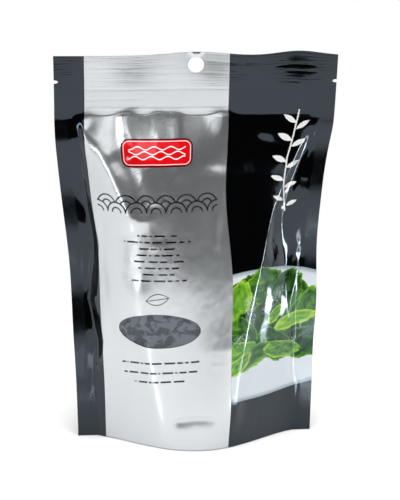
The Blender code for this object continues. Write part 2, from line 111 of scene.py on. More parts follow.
# Crests and, with a negative height, valleys, in millimetres. Widths are those of the sides on the
# right and on the left of someone who walks the path. Sharp is 0 for a round crest and 1 for a fold.
# (height, (right side, left side), sharp, path of (u, v))
FRONT_FORMS = (
    (2.4, (8, 8), 0, ((-71, 194), (-63, 185), (-52.5, 169.5), (-44, 150), (-34, 128))),
    (2.8, (24, 7), 0.2, ((69, 194), (61, 174), (53.5, 151), (43.3, 121), (34.6, 95.6), (28.4, 67),
        (22.3, 31), (19.5, -4))),
    (1.2, (9, 9), 0, ((-37, 108), (-34.4, 81.5), (-30.9, 62.8), (-27.6, 38.5), (-19.8, -4))),
    (-1.6, (5.5, 5.5), 0, ((-69, 191), (-70, 162), (-67, 119), (-70, 87), (-70, 10))),
    (-1.8, (6, 6), 0, ((67, 188), (66, 150), (63, 118), (68, 82.5), (69, 20))),
    (0.8, (6, 6), 0, ((-40, 199), (-37, 183), (-36, 166))),
    (0.5, (5, 5), 0, ((-21, 199), (-21.5, 184), (-25, 162))),
    (0.5, (5, 5), 0, ((-12.5, 199), (-10, 182), (-12, 156))),
    (0.7, (6.5, 6.5), 0, ((16, 199), (14.5, 182), (12, 162))),
    (-1.2, (7, 7), 0, ((-46, 176), (-36, 156), (-30, 136))),
    (-1.0, (9, 9), 0, ((44, 186), (36, 160), (30, 130))),
    (3.4, (33, 33), 0, ((-66, 95), (66, 101))),
)
BACK_FORMS = (
    (2.2, (9, 9), 0, ((-69, 194), (-58, 170), (-45, 135), (-34, 95), (-26, 50), (-21, -4))),
    (2.2, (9, 9), 0, ((70, 194), (60, 172), (49, 140), (36, 100), (28, 55), (23, -4))),
    (-1.4, (7, 7), 0, ((-66, 186), (-67, 130), (-66, 80), (-68, 20))),
    (-1.4, (7, 7), 0, ((66, 186), (65, 130), (67, 80), (68, 20))),
    (1.4, (7, 7), 0, ((-28, 196), (-24, 170))),
    (1.4, (7, 7), 0, ((24, 196), (21, 168))),
)
FRONT_CREASES = (
    (0.5, (8, 4), 0.1, ((-71, 193), (-63, 185), (-57, 179), (-52.5, 169.5), (-47, 159), (-44, 150),
        (-39, 143), (-35, 131))),
    (0.35, (2.5, 3.5), 0.3, ((69, 193.5), (61, 174), (53.6, 151), (51.5, 142), (43, 121),
        (38, 109))),
    (-0.35, (3, 3), 0.5, ((69.5, 187), (66, 166), (60, 153), (54, 147))),
    (0.3, (3, 4), 0.5, ((-39.9, 196), (-39.9, 188), (-41, 182.5))),
    (-0.25, (3, 3), 0.3, ((-36, 195), (-35, 184), (-33, 174))),
    (0.22, (3, 4), 0.5, ((-21.2, 197), (-21.5, 189), (-24, 182))),
    (0.22, (4, 3), 0.5, ((-12.6, 195.5), (-11.5, 188), (-10, 180))),
    (0.25, (3, 4), 0.5, ((15.9, 196), (16, 188), (14, 180))),
    (0.35, (5, 2), 0.6, ((-27, 168), (-30.9, 158.5), (-36.6, 150.8), (-41, 146))),
    (0.3, (2, 4), 0.6, ((-33, 151), (-30, 140), (-27, 128), (-26, 118))),
    (0.35, (2.5, 6), 0.7, ((-8, 166), (-13, 158), (-20, 151.5))),
    (0.25, (5, 2), 0.5, ((-6, 166), (-6.5, 156), (-9, 146))),
    (-0.35, (5, 7), 0.1, ((-24, 148), (-24, 134), (-22, 122))),
    (0.2, (2, 3), 0.5, ((13, 141), (11, 128), (10, 118))),
    (-0.55, (4, 4), 0.3, ((-57, 146), (-59, 128), (-60, 104), (-58.5, 88), (-59, 82))),
    (0.12, (2, 2), 0.8, ((-62, 42), (-53, 32), (-43, 20))),
    (0.1, (1.5, 1.5), 0.8, ((6, 51.5), (12, 50.8), (16, 51.5))),
    (-1.5, (4.5, 1.5), 0.2, ((-17, 17), (-9, 18.6), (-2.5, 20), (5, 19.6), (12, 18))),
    (-0.18, (1, 1), 0.5, ((-8, 10), (2, 9.2), (8, 9.6))),
    (0.3, (4, 4), 0.3, ((-35, 92), (-33, 76), (-30, 60), (-27.5, 40), (-22, 20), (-19.8, 0))),
)
LEFT_SEAL_CREASES = (
    (0.45, (1.5, 2.5), 0.7, ((-71.6, 193), (-70.5, 185), (-69.1, 181), (-69.6, 175), (-71, 169),
        (-70.8, 162), (-69, 150), (-68, 142))),
    (-0.5, (1.5, 2), 0.7, ((-66, 190), (-66.5, 180), (-65.5, 172), (-67.5, 160), (-66, 150))),
    (0.5, (2, 1.5), 0.8, ((-67.6, 142), (-67.5, 131), (-66.8, 120.5), (-68.8, 104), (-71.4, 86),
        (-69.4, 67), (-66.7, 61))),
    (-0.5, (1.5, 2.5), 0.6, ((-65, 118), (-65.5, 104), (-66.5, 92), (-65, 78), (-64.5, 62),
        (-64.5, 50))),
    (-0.4, (2, 2), 0.6, ((-73, 140), (-72, 122), (-74, 104), (-75.5, 90))),
    (0.35, (1.2, 1.6), 0.8, ((-71.2, 84), (-72.5, 70), (-74.5, 52), (-76, 36))),
    (0.35, (1.2, 1.2), 0.8, ((-66.7, 61), (-67.5, 52), (-66.5, 46), (-69.5, 34), (-71, 24),
        (-69, 12), (-70, 2))),
    (0.25, (1.2, 1.2), 0.8, ((-66.5, 46), (-65.2, 44), (-64.5, 42))),
    (0.25, (1.2, 1.2), 0.8, ((-71, 24), (-73, 20), (-74, 16))),
)
RIGHT_SEAL_CREASES = (
    (0.45, (2.5, 1.5), 0.7, ((69.2, 192.7), (69.4, 183.5), (68.7, 173.5), (67.1, 164.7),
        (66.1, 159.4), (69.8, 158), (72.3, 166))),
    (0.4, (1.5, 1.5), 0.8, ((66.1, 159.4), (64.3, 148.7), (66.2, 139), (69.8, 128.4),
        (75.7, 118.4))),
    (-0.4, (2, 2), 0.6, ((53.8, 147.8), (51, 132), (49.1, 120.5), (51, 108))),
    (0.35, (3, 2), 0.6, ((56.6, 144), (62, 130), (68.4, 116.8), (70.3, 115.5), (76.4, 115))),
    (0.3, (2, 2), 0.6, ((68.4, 116.8), (65, 108), (63, 100), (62, 88))),
    (0.35, (1.5, 1.5), 0.8, ((75.7, 118), (73, 104), (71.5, 90), (70.5, 70), (70, 50), (72, 36),
        (74, 22))),
)
BAND_CREASES = (
    (-0.1, (0.5, 0.8), 0.6, ((-80, 209.3), (-40, 209), (-10, 209.5), (30, 209.2), (80, 208.6))),
    (-0.08, (0.5, 0.6), 0.6, ((-72, 203.4), (-40, 203.8), (-28, 204))),
    (-0.08, (0.5, 0.6), 0.6, ((14, 203.6), (45, 203.4), (72, 202.8))),
    (0.06, (0.7, 0.7), 0.4, ((-70, 198.6), (-20, 198.2), (30, 198.4), (68, 198.2))),
    (-0.1, (0.6, 1.0), 0.7, ((3, 223.6), (10, 223.2), (19, 223), (40, 223.4))),
    (-0.15, (0.5, 1.0), 0.6, ((42, 221.2), (54, 221.4), (70, 221.0))),
    (-0.12, (0.5, 0.8), 0.6, ((26, 223.4), (34, 223.8), (42, 223.2))),
    (-0.12, (0.5, 0.8), 0.6, ((50, 218.6), (62, 218.2), (70, 218.4))),
    (-0.1, (0.5, 0.7), 0.6, ((30, 213.6), (44, 213.4), (62, 213.2))),
    (-0.08, (0.5, 0.7), 0.6, ((19, 210.6), (28, 210.4), (42, 210.7))),
    (-0.05, (0.5, 0.6), 0.5, ((-78, 221.6), (-40, 221.2), (-8, 222.6))),
    (-0.05, (0.5, 0.6), 0.5, ((-78, 218.6), (-40, 218.9), (70, 216.4))),
    (-0.04, (0.5, 0.6), 0.5, ((-78, 214.6), (-30, 214.0), (10, 214.9))),
    (0.5, (1.2, 1.2), 0.7, ((-4.5, 229), (-2.5, 227.5), (-0.4, 226.2))),
    (0.5, (1.2, 1.2), 0.7, ((4, 229), (2, 227.5), (-0.2, 226.2))),
)
BACK_CREASES = (
    (0.7, (3, 7), 0.8, ((-69, 194), (-58, 170), (-48, 142), (-38, 108))),
    (0.7, (7, 3), 0.8, ((70, 194), (60, 172), (50, 143), (40, 112))),
    (0.5, (2, 3), 0.9, ((-28, 196), (-27, 187), (-24, 176))),
    (0.5, (3, 2), 0.9, ((24, 196), (23, 186), (20, 172))),
    (0.5, (3, 2), 0.9, ((-3, 195), (-4, 185), (-7, 172))),
    (-0.7, (5, 5), 0.2, ((-20, 168), (-10, 146), (-6, 122))),
    (-0.6, (4, 6), 0.3, ((26, 160), (14, 138), (8, 116))),
    (0.6, (3, 5), 0.7, ((-30, 164), (-22, 148), (-20, 132))),
    (0.5, (4, 4), 0.4, ((2, 96), (4, 60), (1, 24), (0, 4))),
    (-0.8, (1.5, 3.5), 0.5, ((-22, 18), (-8, 20), (8, 18.5))),
    (0.7, (2, 1.5), 0.9, ((-70, 190), (-69, 174), (-71, 160), (-68, 142), (-70, 118), (-69, 96))),
    (0.7, (1.5, 2), 0.9, ((70, 188), (68, 170), (71, 152), (68, 132), (71, 110), (69, 84))),
    (0.6, (1.5, 1.5), 0.9, ((-69, 90), (-71, 70), (-68, 50), (-71, 26), (-70, 6))),
    (0.6, (1.5, 1.5), 0.9, ((69, 80), (71, 60), (68, 42), (71, 20), (70, 4))),
)
CREASE_FADE = 0.16  # share of a crease's length over which each end dies away
FORM_EDGE, FORM_FULL = 0.073, 0.062
# The side seals' waves to the front and back: half their height, their length, where each side's
# start, and where they grow and fade up the seal and across it
SEAL_SWAY, SWAY_LENGTH, SWAY_LEFT_AT, SWAY_RIGHT_AT = 0.0021, 0.062, 0.139, 0.160
SWAY_GROWS, SWAY_FADES, SWAY_ACROSS = (0.020, 0.060), (0.178, 0.192), (0.054, 0.072)
VALLEY_ROOM, CREASE_ROOM = 0.007, 0.003
FOLD_ROUND, FOLD_POWER = 0.02, 1.6  # squared share of the width that a fold is rounded over; its fall

# Mesh steps across the film, in its middle and at its side seals, and up the band
FRONT_ACROSS, FRONT_ACROSS_SEALS, FRONT_UP_BAND = 0.00115, 0.00075, 0.00048
BACK_ACROSS_SEALS, BACK_UP_BAND = 0.0011, 0.0008
WINDOW_GRID, GUSSET_COLUMNS, GUSSET_FLOOR_ROWS = (49, 25), 73, 29
NORMAL_STEP = 0.0005  # how far apart the places are that give a panel's facing
SHARP_ANGLE = math.radians(50)
# Columns: where the side seals' finer ones start, and the even ones at the hang hole
SEALS_FROM, HOLE_FINE, HOLE_FINE_STEP, HOLE_FINE_ROOM = 0.058, 0.0066, 0.00055, 0.0070
RIM_REACH = 1.6  # share of an oval within which its rim's vertices are looked for

# The print, in millimetres on the film
SILVER_FROM, SILVER_TO = -63.0, 18.6
BACK_SILVER_HALF = 40.0
MAP_WIDTH, MAP_HEIGHT = 200.0, 250.0
FILM_MAP = "film"
INK_EDGE = 0.18
BADGE_AT, BADGE_HALF, BADGE_ROUND = (-22.2, 174.2), (20.5, 7.4), 4.2
BADGE_RIM_HALF, BADGE_LINE_HALF, BADGE_LINE_IN, BADGE_FIELD_IN = 0.35, 0.18, 1.1, (4, 2)
BADGE_WAVES, BADGE_WAVE_LENGTH, BADGE_WAVE_RISE, BADGE_WAVE_HALF = (-2.6, 0.0, 2.6), 9.6, 0.85, 0.3
SCALLOP_AT, SCALLOP_HALF, SCALLOP_WIDTH, SCALLOP_RISE = (-23.0, 146.2), (36.3, 5.2), 12.0, 4.0
SCALLOP_LINE_HALF = 0.42
RULES_TOP, RULES_STEP, RULES_MIDDLE = 128.3, 3.66, -23.5
RULE_HALF_LENGTHS = (12.0, 21.0, 11.0, 12.8, 15.0, 12.0, 9.4, 16.0)
RULE_HALF_HEIGHT, SLOGAN_HALF_HEIGHT = 0.50, 0.55
LEAF_MARK_AT, LEAF_MARK_HALF, LEAF_MARK_TURN = (-24.1, 91.8), (6.7, 3.2), 8
LEAF_MARK_RIB, LEAF_MARK_RIB_HALF, LEAF_MARK_LINE_HALF = ((-30.1, 91.0), (-18.1, 92.6)), 0.22, 0.26
BACK_RULES, BACK_RULES_TOP, BACK_RULES_STEP, BACK_RULES_MIDDLE = 14, 150.0, 5.2, -6.0
BACK_RULES_SHIFT, BACK_RULE_HALF, BACK_RULE_CHANGE = 2.5, 26.0, 4.0
SLOGANS = (((-49.9, 51.0), (-0.1, 54.8)), ((-49.0, 44.8), (-1.3, 49.0)), ((-42.2, 39.6), (-8.3, 43.1)))
STEM_HALF, BRUSH_EDGE = 0.42, 0.3
# Leaves of the brushed sprig: (u, v, half length, half width, turn in degrees)
SPRIG_STEM = ((59.5, 197.0), (57.5, 184.0), (55.5, 170.0), (56.0, 156.0), (59.0, 138.0))
SPRIG_LEAVES = (
    (54.6, 192.0, 4.6, 1.5, 148), (62.2, 188.6, 4.4, 1.4, 34), (52.6, 181.6, 4.9, 1.7, 156),
    (60.8, 178.4, 4.6, 1.5, 28), (51.2, 169.2, 4.8, 1.6, 160), (59.8, 166.0, 4.5, 1.5, 22),
    (51.6, 158.0, 4.4, 1.5, 165), (60.6, 153.6, 4.2, 1.4, 20), (53.6, 146.0, 4.0, 1.3, 158),
    (62.6, 142.6, 3.6, 1.2, 30),
)
# Leaves of the printed kelp, from the back one to the front one, in millimetres and degrees:
# (middle u, middle v, half length, half width, turn, brightness)
LEAVES = (
    (30, 88, 20, 15, 20, 0.15), (47, 92, 22, 14, -22, 0.3), (67, 80, 22, 16, -50, 0.2),
    (22, 84, 18, 9, 70, 0.85), (56, 84, 24, 13, 50, 0.1), (76, 74, 20, 10, 75, 0.45),
    (40, 70, 26, 16, 10, 0.05), (70, 62, 22, 13, -15, 0.15), (26, 66, 16, 11, -40, 0.3),
    (66, 71, 17, 5, 12, 0.95), (45, 62, 9, 4, 62, 0.9), (52, 76, 8, 4, 40, 0.7),
    (74, 56, 18, 11, 5, 0.05), (30, 55, 20, 9, -8, 0.65), (52, 58, 18, 10, -30, 0.1),
    (34, 53, 22, 7, 14, 0.35), (58, 54, 16, 6, -12, 0.55), (24, 50, 13, 5, 30, 0.75),
)
GLINTS = ((51, 86, 15, 5, 38), (31, 80, 5, 12, 14), (24, 64, 8, 4, 20), (67, 58, 3, 3, 0))
DISH_AT, DISH_HALF, DISH_SHADOW = (42.0, 66.0), (80.0, 39.0), 3.4


def bump(x, centre, spread):
    """A smooth hump of height 1."""
    return np.exp(-(((x - centre) / spread) ** 2))


def ease(x, start, end):
    """0 at start, 1 at end, with a smooth step between."""
    t = np.clip((x - start) / (end - start), 0, 1)
    return t * t * (3 - 2 * t)


def near_zip(v):
    """1 over the zip's height, easing to 0 over the shoulders above and below it."""
    return 1 - ease(np.abs(v - ZIP_AT) - ZIP_BASE_HALF, ZIP_STEP, ZIP_SHOULDER)


def spine(v):
    """The middle plane's distance behind the middle of the base."""
    tip = BAND_LEAN * np.clip((v - BAND_LEAN_FROM) / (HEIGHT - BAND_LEAN_FROM), 0, None)
    bow = BOW * bump(v, BOW_AT, BOW_SPREAD)
    return SET_BACK - LEAN * v / HEIGHT + bow - tip + ZIP_BULGE * near_zip(v)


def swell(v):
    """How far a panel stands off the middle plane on its middle line."""
    return DEPTH * (1 - np.exp(-np.clip(BODY_TOP - v, 0, None) / SWELL_LENGTH))


def seal_width(v):
    return SEAL_WIDTH * (1 - SEAL_PULL * bump(v, SEAL_PULL_AT, SEAL_PULL_SPREAD))


def half_gap(u, v):
    """Outer face to middle plane where the panels lie together: least at the seals, more at the zip."""
    return SEALED_HALF + ZIP_BULGE * near_zip(v) * (1 - ease(np.abs(u), ZIP_END_OPENS, ZIP_END_CLOSES))


def band_wave(u, v):
    """The sealed band's gentle waves, alike on both panels."""
    return BAND_WAVE * np.sin(2 * math.pi * u / BAND_WAVE_LENGTH) * ease(v, BAND_WAVE_FROM, HEIGHT)


def dipped(u, v):
    """v as the swelling sees it: the body's top line hangs lower between the pinches."""
    pinched = np.clip(sum(bump(u, at, spread) for at, spread in PINCHES), 0, 1)
    return v + TOP_DIP * (1 - pinched) * ease(v, *DIP_FADE)


def bell(u, v, side):
    """A panel's bell shape in plan, as (x, distance off the seals). Its arc is as long as the film."""
    depth = swell(dipped(u, v))
    span = HALF_WIDTH - seal_width(v)
    chord = (span + np.sqrt(span**2 - (ARC_SHARE * depth) ** 2)) / 2
    slope = math.pi * depth / (2 * chord)
    squeeze = slope**2 / (8 * math.pi * (1 + slope**2 / 4))
    across = np.clip(u / span, -1, 1)
    t = across + squeeze * np.sin(2 * math.pi * across)
    x = chord * t + (u - span * across) - DRIFT * bump(v, DRIFT_AT, DRIFT_SPREAD)
    skew = FRONT_SKEW if side == FRONT else BACK_SKEW
    skew = skew * np.clip((v - SKEW_FROM) / SKEW_LENGTH, 0, 1)
    skew = skew + MIDDLE_SKEW * bump(v, MIDDLE_SKEW_AT, MIDDLE_SKEW_SPREAD)
    t = t + skew * (1 - t * t)
    return x, depth * np.clip(np.cos(math.pi * t / 2), 0, 1) ** CROWN


def seal_press(u, v):
    """1 on the flat pressed side seals, easing to 0 over the steep film beside them."""
    lines = (np.interp(v, *np.array(line).T * MM) for line in (LEFT_SEAL_LINE, RIGHT_SEAL_LINE))
    inner = np.where(u < 0, *lines)
    return ease(np.abs(u), inner - SEAL_RISE, inner) * (1 - ease(v, *SEAL_PRESS_TOP))


def seal_sway(u, v):
    """The side seals' gentle waves to the front and back, alike on both panels."""
    waves = np.sin(2 * math.pi * (v - np.where(u < 0, SWAY_LEFT_AT, SWAY_RIGHT_AT)) / SWAY_LENGTH)
    ends = ease(v, *SWAY_GROWS) * (1 - ease(v, *SWAY_FADES))
    return SEAL_SWAY * waves * ends * ease(np.abs(u), *SWAY_ACROSS)


def section(u, v, side):
    """Points on a panel's outer face, without its creases."""
    x, off_seals = bell(u, v, side)
    off_seals = off_seals * (1 - seal_press(u, v))
    beside_zip = ZIP_BULGE * near_zip(v) * ease(np.abs(u), ZIP_END_OPENS, ZIP_END_CLOSES)
    y = spine(v) - beside_zip + band_wave(u, v) + seal_sway(u, v) + side * (half_gap(u, v) + off_seals)
    return np.stack([x, y, v + 0 * u], axis=-1)


def crease(u, v, height, widths, sharp, path):
    """A crest along a path, round or folded, whose two sides fall away over their own widths."""
    points = np.array(path) * MM
    lengths = np.hypot(*np.diff(points, axis=0).T)
    total = lengths.sum()
    nearest, share, on_left = np.full(u.shape, np.inf), np.zeros(u.shape), np.zeros(u.shape, bool)
    walked = 0.0
    for start, end, length in zip(points[:-1], points[1:], lengths):
        step = (end - start) / length
        from_u, from_v = u - start[0], v - start[1]
        along = np.clip(from_u * step[0] + from_v * step[1], 0, length)
        away = np.hypot(from_u - along * step[0], from_v - along * step[1])
        closer = away < nearest
        nearest = np.where(closer, away, nearest)
        share = np.where(closer, (walked + along) / total, share)
        on_left = np.where(closer, step[0] * from_v - step[1] * from_u > 0, on_left)
        walked += length
    fade = ease(share, 0, CREASE_FADE) * (1 - ease(share, 1 - CREASE_FADE, 1))
    distance = nearest / (np.where(on_left, widths[1], widths[0]) * MM)
    fold = np.exp(math.sqrt(FOLD_ROUND) - np.sqrt(distance**2 + FOLD_ROUND))
    return height * MM * fade * ((1 - sharp) * np.exp(-(distance**2)) + sharp * fold**FOLD_POWER)


def creased(u, v, forms):
    """The height of several crests and valleys together."""
    return sum(crease(u, v, *values) for values in forms)


def relief(u, v, side, scale=1.0):
    """The forms' and creases' height off the plain panel. A valley never reaches the other panel."""
    forms, creases = (FRONT_FORMS, FRONT_CREASES) if side == FRONT else (BACK_FORMS, BACK_CREASES)
    off_seals = bell(u, v, side)[1]
    form = creased(u, v, forms)
    form = np.where(form < 0, form * ease(off_seals, 0, VALLEY_ROOM), form)
    form *= 1 - ease(np.abs(u), FORM_FULL, FORM_EDGE)
    fine = scale * creased(u, v, creases)
    if side == FRONT:
        fine = fine + scale * creased(u, v, LEFT_SEAL_CREASES + RIGHT_SEAL_CREASES)
        fine = fine + creased(u, v, BAND_CREASES)
    return form + np.where(fine < 0, fine * ease(off_seals, -CREASE_ROOM, CREASE_ROOM), fine)


def panel(u, v, side, inset=0.0, scale=1.0):
    """Points on a panel's outer face with its creases, or on a layer inset behind it."""
    across = section(u + NORMAL_STEP, v, side) - section(u - NORMAL_STEP, v, side)
    up = section(u, v + NORMAL_STEP, side) - section(u, v - NORMAL_STEP, side)
    out = np.cross(across, up) * -side
    out /= np.linalg.norm(out, axis=-1, keepdims=True)
    return section(u, v, side) + out * (relief(u, v, side, scale) - inset)[..., None]


def raised_to_edge(u, v):
    """Stretches the top of the band up to the waved top edge."""
    waves = sum(height * bump(u, at, spread) for height, at, spread in EDGE_WAVES)
    return v + waves * ease(v, NOTCH_V, HEIGHT)


def notched(u, v):
    """Draws the film's side edges in at the tear notches."""
    depth = NOTCH_DEPTH * np.sqrt(np.clip(1 - ((v - NOTCH_V) / NOTCH_HALF_HEIGHT) ** 2, 0, 1))
    start = HALF_WIDTH - NOTCH_REACH
    drawn = start + (np.abs(u) - start) * (1 - depth / NOTCH_REACH)
    return np.where(np.abs(u) > start, np.sign(u) * drawn, u)


def film_point(u, v, side, inset=0.0, scale=1.0):
    """The final place of (u, v) on a panel, with its notches and its waved top edge."""
    points = panel(notched(u, v), v, side, inset, scale)
    points[..., 2] = points[..., 2] + raised_to_edge(u, v) - v
    return points


def oval_share(u, v, oval):
    """Distance from an oval's middle, as a share of the way to its edge."""
    middle_u, middle_v, half_width, half_height = oval
    return np.hypot((u - middle_u) / half_width, (v - middle_v) / half_height)


def open_oval(mesh, oval):
    """Takes an oval out of a flat grid and draws the rim's vertices onto the oval."""
    gone = [f for f in mesh.faces if oval_share(*f.calc_center_median()[:2], oval) < 1]
    bmesh.ops.delete(mesh, geom=gone, context="FACES")
    middle = Vector((oval[0], oval[1], 0))
    for vertex in mesh.verts:
        share = oval_share(vertex.co.x, vertex.co.y, oval)
        if vertex.is_boundary and share < RIM_REACH:
            vertex.co = middle + (vertex.co - middle) / share


def link(name, mesh, *materials):
    obj = bpy.data.objects.new(name, mesh)
    bpy.context.scene.collection.objects.link(obj)
    for material in materials:
        mesh.materials.append(material)
    return obj


def finished_mesh(name, built):
    """Turns what was built into a mesh."""
    mesh = bpy.data.meshes.new(name)
    built.to_mesh(mesh)
    built.free()
    return mesh


def thicken(obj, thickness, offset, even):
    """Gives a sheet its thickness. Even keeps it the same at the sheet's bends."""
    solidify = obj.modifiers.new("thickness", "SOLIDIFY")
    solidify.thickness = thickness
    solidify.offset = offset
    solidify.use_even_offset = even
    return settle(obj)


def flat_grid(columns, rows):
    """A flat grid whose vertex (i, j) is at (columns[i], rows[j])."""
    mesh = bmesh.new()
    bmesh.ops.create_grid(mesh, x_segments=len(columns) - 1, y_segments=len(rows) - 1, size=0.5)
    for vertex in mesh.verts:
        i = round((vertex.co.x + 0.5) * (len(columns) - 1))
        j = round((vertex.co.y + 0.5) * (len(rows) - 1))
        vertex.co = (columns[i], rows[j], 0)
    return mesh


def film_sheet(name, grid, place, material, thickness=FILM, offset=-1, side=FRONT):
    """Bends a flat grid into a film: keeps (u, v) as its UV map and gives it its thickness."""
    if side == BACK:
        bmesh.ops.reverse_faces(grid, faces=grid.faces)
    mesh = finished_mesh(name, grid)
    flat = np.empty(len(mesh.vertices) * 3)
    mesh.vertices.foreach_get("co", flat)
    u, v = flat.reshape(-1, 3)[:, 0], flat.reshape(-1, 3)[:, 1]
    corner_vertices = np.empty(len(mesh.loops), int)
    mesh.loops.foreach_get("vertex_index", corner_vertices)
    uv = np.stack([u / MM / MAP_WIDTH + 0.5, v / MM / MAP_HEIGHT], axis=-1)[corner_vertices]
    mesh.uv_layers.new(name=FILM_MAP).uv.foreach_set("vector", uv.ravel())
    mesh.vertices.foreach_set("co", place(u, v).ravel())
    mesh.update()
    return thicken(link(name, mesh, material), thickness, offset, True)


def panel_sheet(name, grid, side, film, material):
    """Cuts the hang hole and the foot out of a flat grid and bends it into a panel."""
    open_oval(grid, HOLE_OVAL)
    on_the_ground(grid)

    def place(u, v):
        return film_point(u, v, side, 0, film.crease_scale)

    return film_sheet(name, grid, place, material, side=side)


def settle(obj):
    """Applies an object's modifiers and shades it smooth, with sharp rims."""
    graph = bpy.context.evaluated_depsgraph_get()
    mesh = bpy.data.meshes.new_from_object(obj.evaluated_get(graph))
    old = obj.data
    obj.modifiers.clear()
    obj.data = mesh
    bpy.data.meshes.remove(old)
    mesh.name = obj.name
    mesh.shade_smooth()
    mesh.set_sharp_from_angle(angle=SHARP_ANGLE)
    return obj


def dress(obj, slot, *nodes):
    """The piece rides with the pouch and stands for its CAD nodes, which it hides. Its slot is not used.
    """
    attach(obj, BODY)
    if nodes:
        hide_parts(*nodes)
    return obj


FILM_IOR, INK_GLOSS = 1.5, 0.62
# How deep the band's pressed lines are, and how far the back reads the same wrinkles from the front's
FRONT_LINE_DEPTH, BACK_LINE_DEPTH, BACK_SHIFT = 0.03, 0.16, 300

# The Mix node's sockets for colours, which share their names with those for numbers
MIX_FIRST, MIX_SECOND, MIX_RESULT = 6, 7, 2


class Socket:
    """A shader socket that takes part in Python arithmetic: an expression adds its Math nodes."""

    def __init__(self, tree, socket=None):
        self.tree = tree
        self.socket = socket

    def node(self, kind, settings=(), inputs=(), output=0):
        """Adds a node, makes its settings, then gives its sockets their values or links."""
        added = self.tree.nodes.new("ShaderNode" + kind)
        for name, value in dict(settings).items():
            if name == "stops":
                fill_ramp(added.color_ramp, value)
            else:
                setattr(added, name, value)
        for name, value in dict(inputs).items():
            if isinstance(value, Socket):
                self.tree.links.new(value.socket, added.inputs[name])
            else:
                added.inputs[name].default_value = value
        return Socket(self.tree, added.outputs[output])

    def math(self, operation, *values):
        return self.node("Math", {"operation": operation}, enumerate(values))

    def __add__(self, other):
        return self.math("ADD", self, other)

    def __sub__(self, other):
        return self.math("SUBTRACT", self, other)

    def __rsub__(self, other):
        return self.math("SUBTRACT", other, self)

    def __mul__(self, other):
        return self.math("MULTIPLY", self, other)

    def __truediv__(self, other):
        return self.math("DIVIDE", self, other)

    def __rtruediv__(self, other):
        return self.math("DIVIDE", other, self)

    def __pow__(self, other):
        return self.math("POWER", self, other)

    def __abs__(self):
        return self.math("ABSOLUTE", self)

    __radd__ = __add__
    __rmul__ = __mul__

    def least(self, other):
        return self.math("MINIMUM", self, other)

    def most(self, other):
        return self.math("MAXIMUM", self, other)

    def wave(self, length, phase=0.0):
        """A sine along this value, from -1 to 1."""
        return self.math("SINE", self * (2 * math.pi / length) + phase)

    def step(self, start, end):
        """0 at start, 1 at end, with a smooth step between."""
        limits = {"Value": self, "From Min": start, "From Max": end}
        return self.node("MapRange", {"interpolation_type": "SMOOTHSTEP"}, limits)

    def inked(self, edge=INK_EDGE):
        """1 where this distance, in millimetres, lies inside a mark, with a soft edge."""
        return self.step(-edge / 2, edge / 2)

    def line(self, half):
        """1 where this distance, in millimetres, is less than half a line's width."""
        return (half - abs(self)).inked()

    def blend(self, first, second):
        """Mixes two colours, with this value as the share of the second."""
        inputs = {"Factor": self, MIX_FIRST: first, MIX_SECOND: second}
        return self.node("Mix", {"data_type": "RGBA"}, inputs, MIX_RESULT)

    def noise(self, scale, detail=2.0, roughness=0.5, distortion=0.0):
        """Noise at this place, from about 0 to 1."""
        inputs = {"Scale": scale, "Detail": detail, "Roughness": roughness, "Distortion": distortion}
        return self.node("TexNoise", {}, {"Vector": self, **inputs})

    def ramp(self, *stops):
        """A colour ramp read at this value, from stops of (place, colour)."""
        return self.node("ValToRGB", {"stops": stops}, {"Fac": self})


def fill_ramp(ramp, stops):
    while len(ramp.elements) < len(stops):
        ramp.elements.new(1.0)
    for element, (place, colour) in zip(ramp.elements, stops):
        element.position = place
        element.color = (*colour[:3], 1.0)


def socket_name(key):
    """A shader socket's name from a Python keyword."""
    return key.replace("_", " ").title().replace("Ior", "IOR")


def new_material(name, **constants):
    """A Principled material, its constant sockets set: (material, its first Socket, shader node)."""
    material = bpy.data.materials.new(name)
    material.use_nodes = True
    shader = material.node_tree.nodes["Principled BSDF"]
    for key, value in constants.items():
        shader.inputs[socket_name(key)].default_value = value
    return material, Socket(material.node_tree), shader


def feed(shader, **sockets):
    """Links what varies over the surface to the shader."""
    for key, value in sockets.items():
        value.tree.links.new(value.socket, shader.inputs[socket_name(key)])


def any_of(masks):
    """1 where any of the masks is."""
    return functools.reduce(Socket.most, masks)


def bumped(base, height, distance):
    return base.node("Bump", {}, {"Strength": 1.0, "Distance": distance, "Height": height})


def film_place(base):
    """The place on the film in millimetres: (u, v)."""
    place = base.node("UVMap", {"uv_map": FILM_MAP})
    across, up = (base.node("SeparateXYZ", {}, {"Vector": place}, axis) for axis in "XY")
    return (across - 0.5) * MAP_WIDTH, up * MAP_HEIGHT


def object_place(base):
    """The place in the object's own space, in metres."""
    return base.node("TexCoord", output="Object")


def point(u, v):
    """A vector from two places on the film, for a noise to read."""
    return u.node("CombineXYZ", {}, {"X": u, "Y": v})


def streaks(u, v, across, up, *settings):
    """Noise over the film, with its own scale across it and up it."""
    return point(u * across, v * up).noise(1.0, *settings)


def box_distance(u, v, middle, half, corner=0.0):
    """How far a place lies inside a rectangle with round corners, in millimetres."""
    over_u = abs(u - middle[0]) - (half[0] - corner)
    over_v = abs(v - middle[1]) - (half[1] - corner)
    if not corner:
        return 0 - over_u.most(over_v)
    outside = (over_u.most(0) ** 2 + over_v.most(0) ** 2) ** 0.5
    return corner - outside - over_u.most(over_v).least(0)


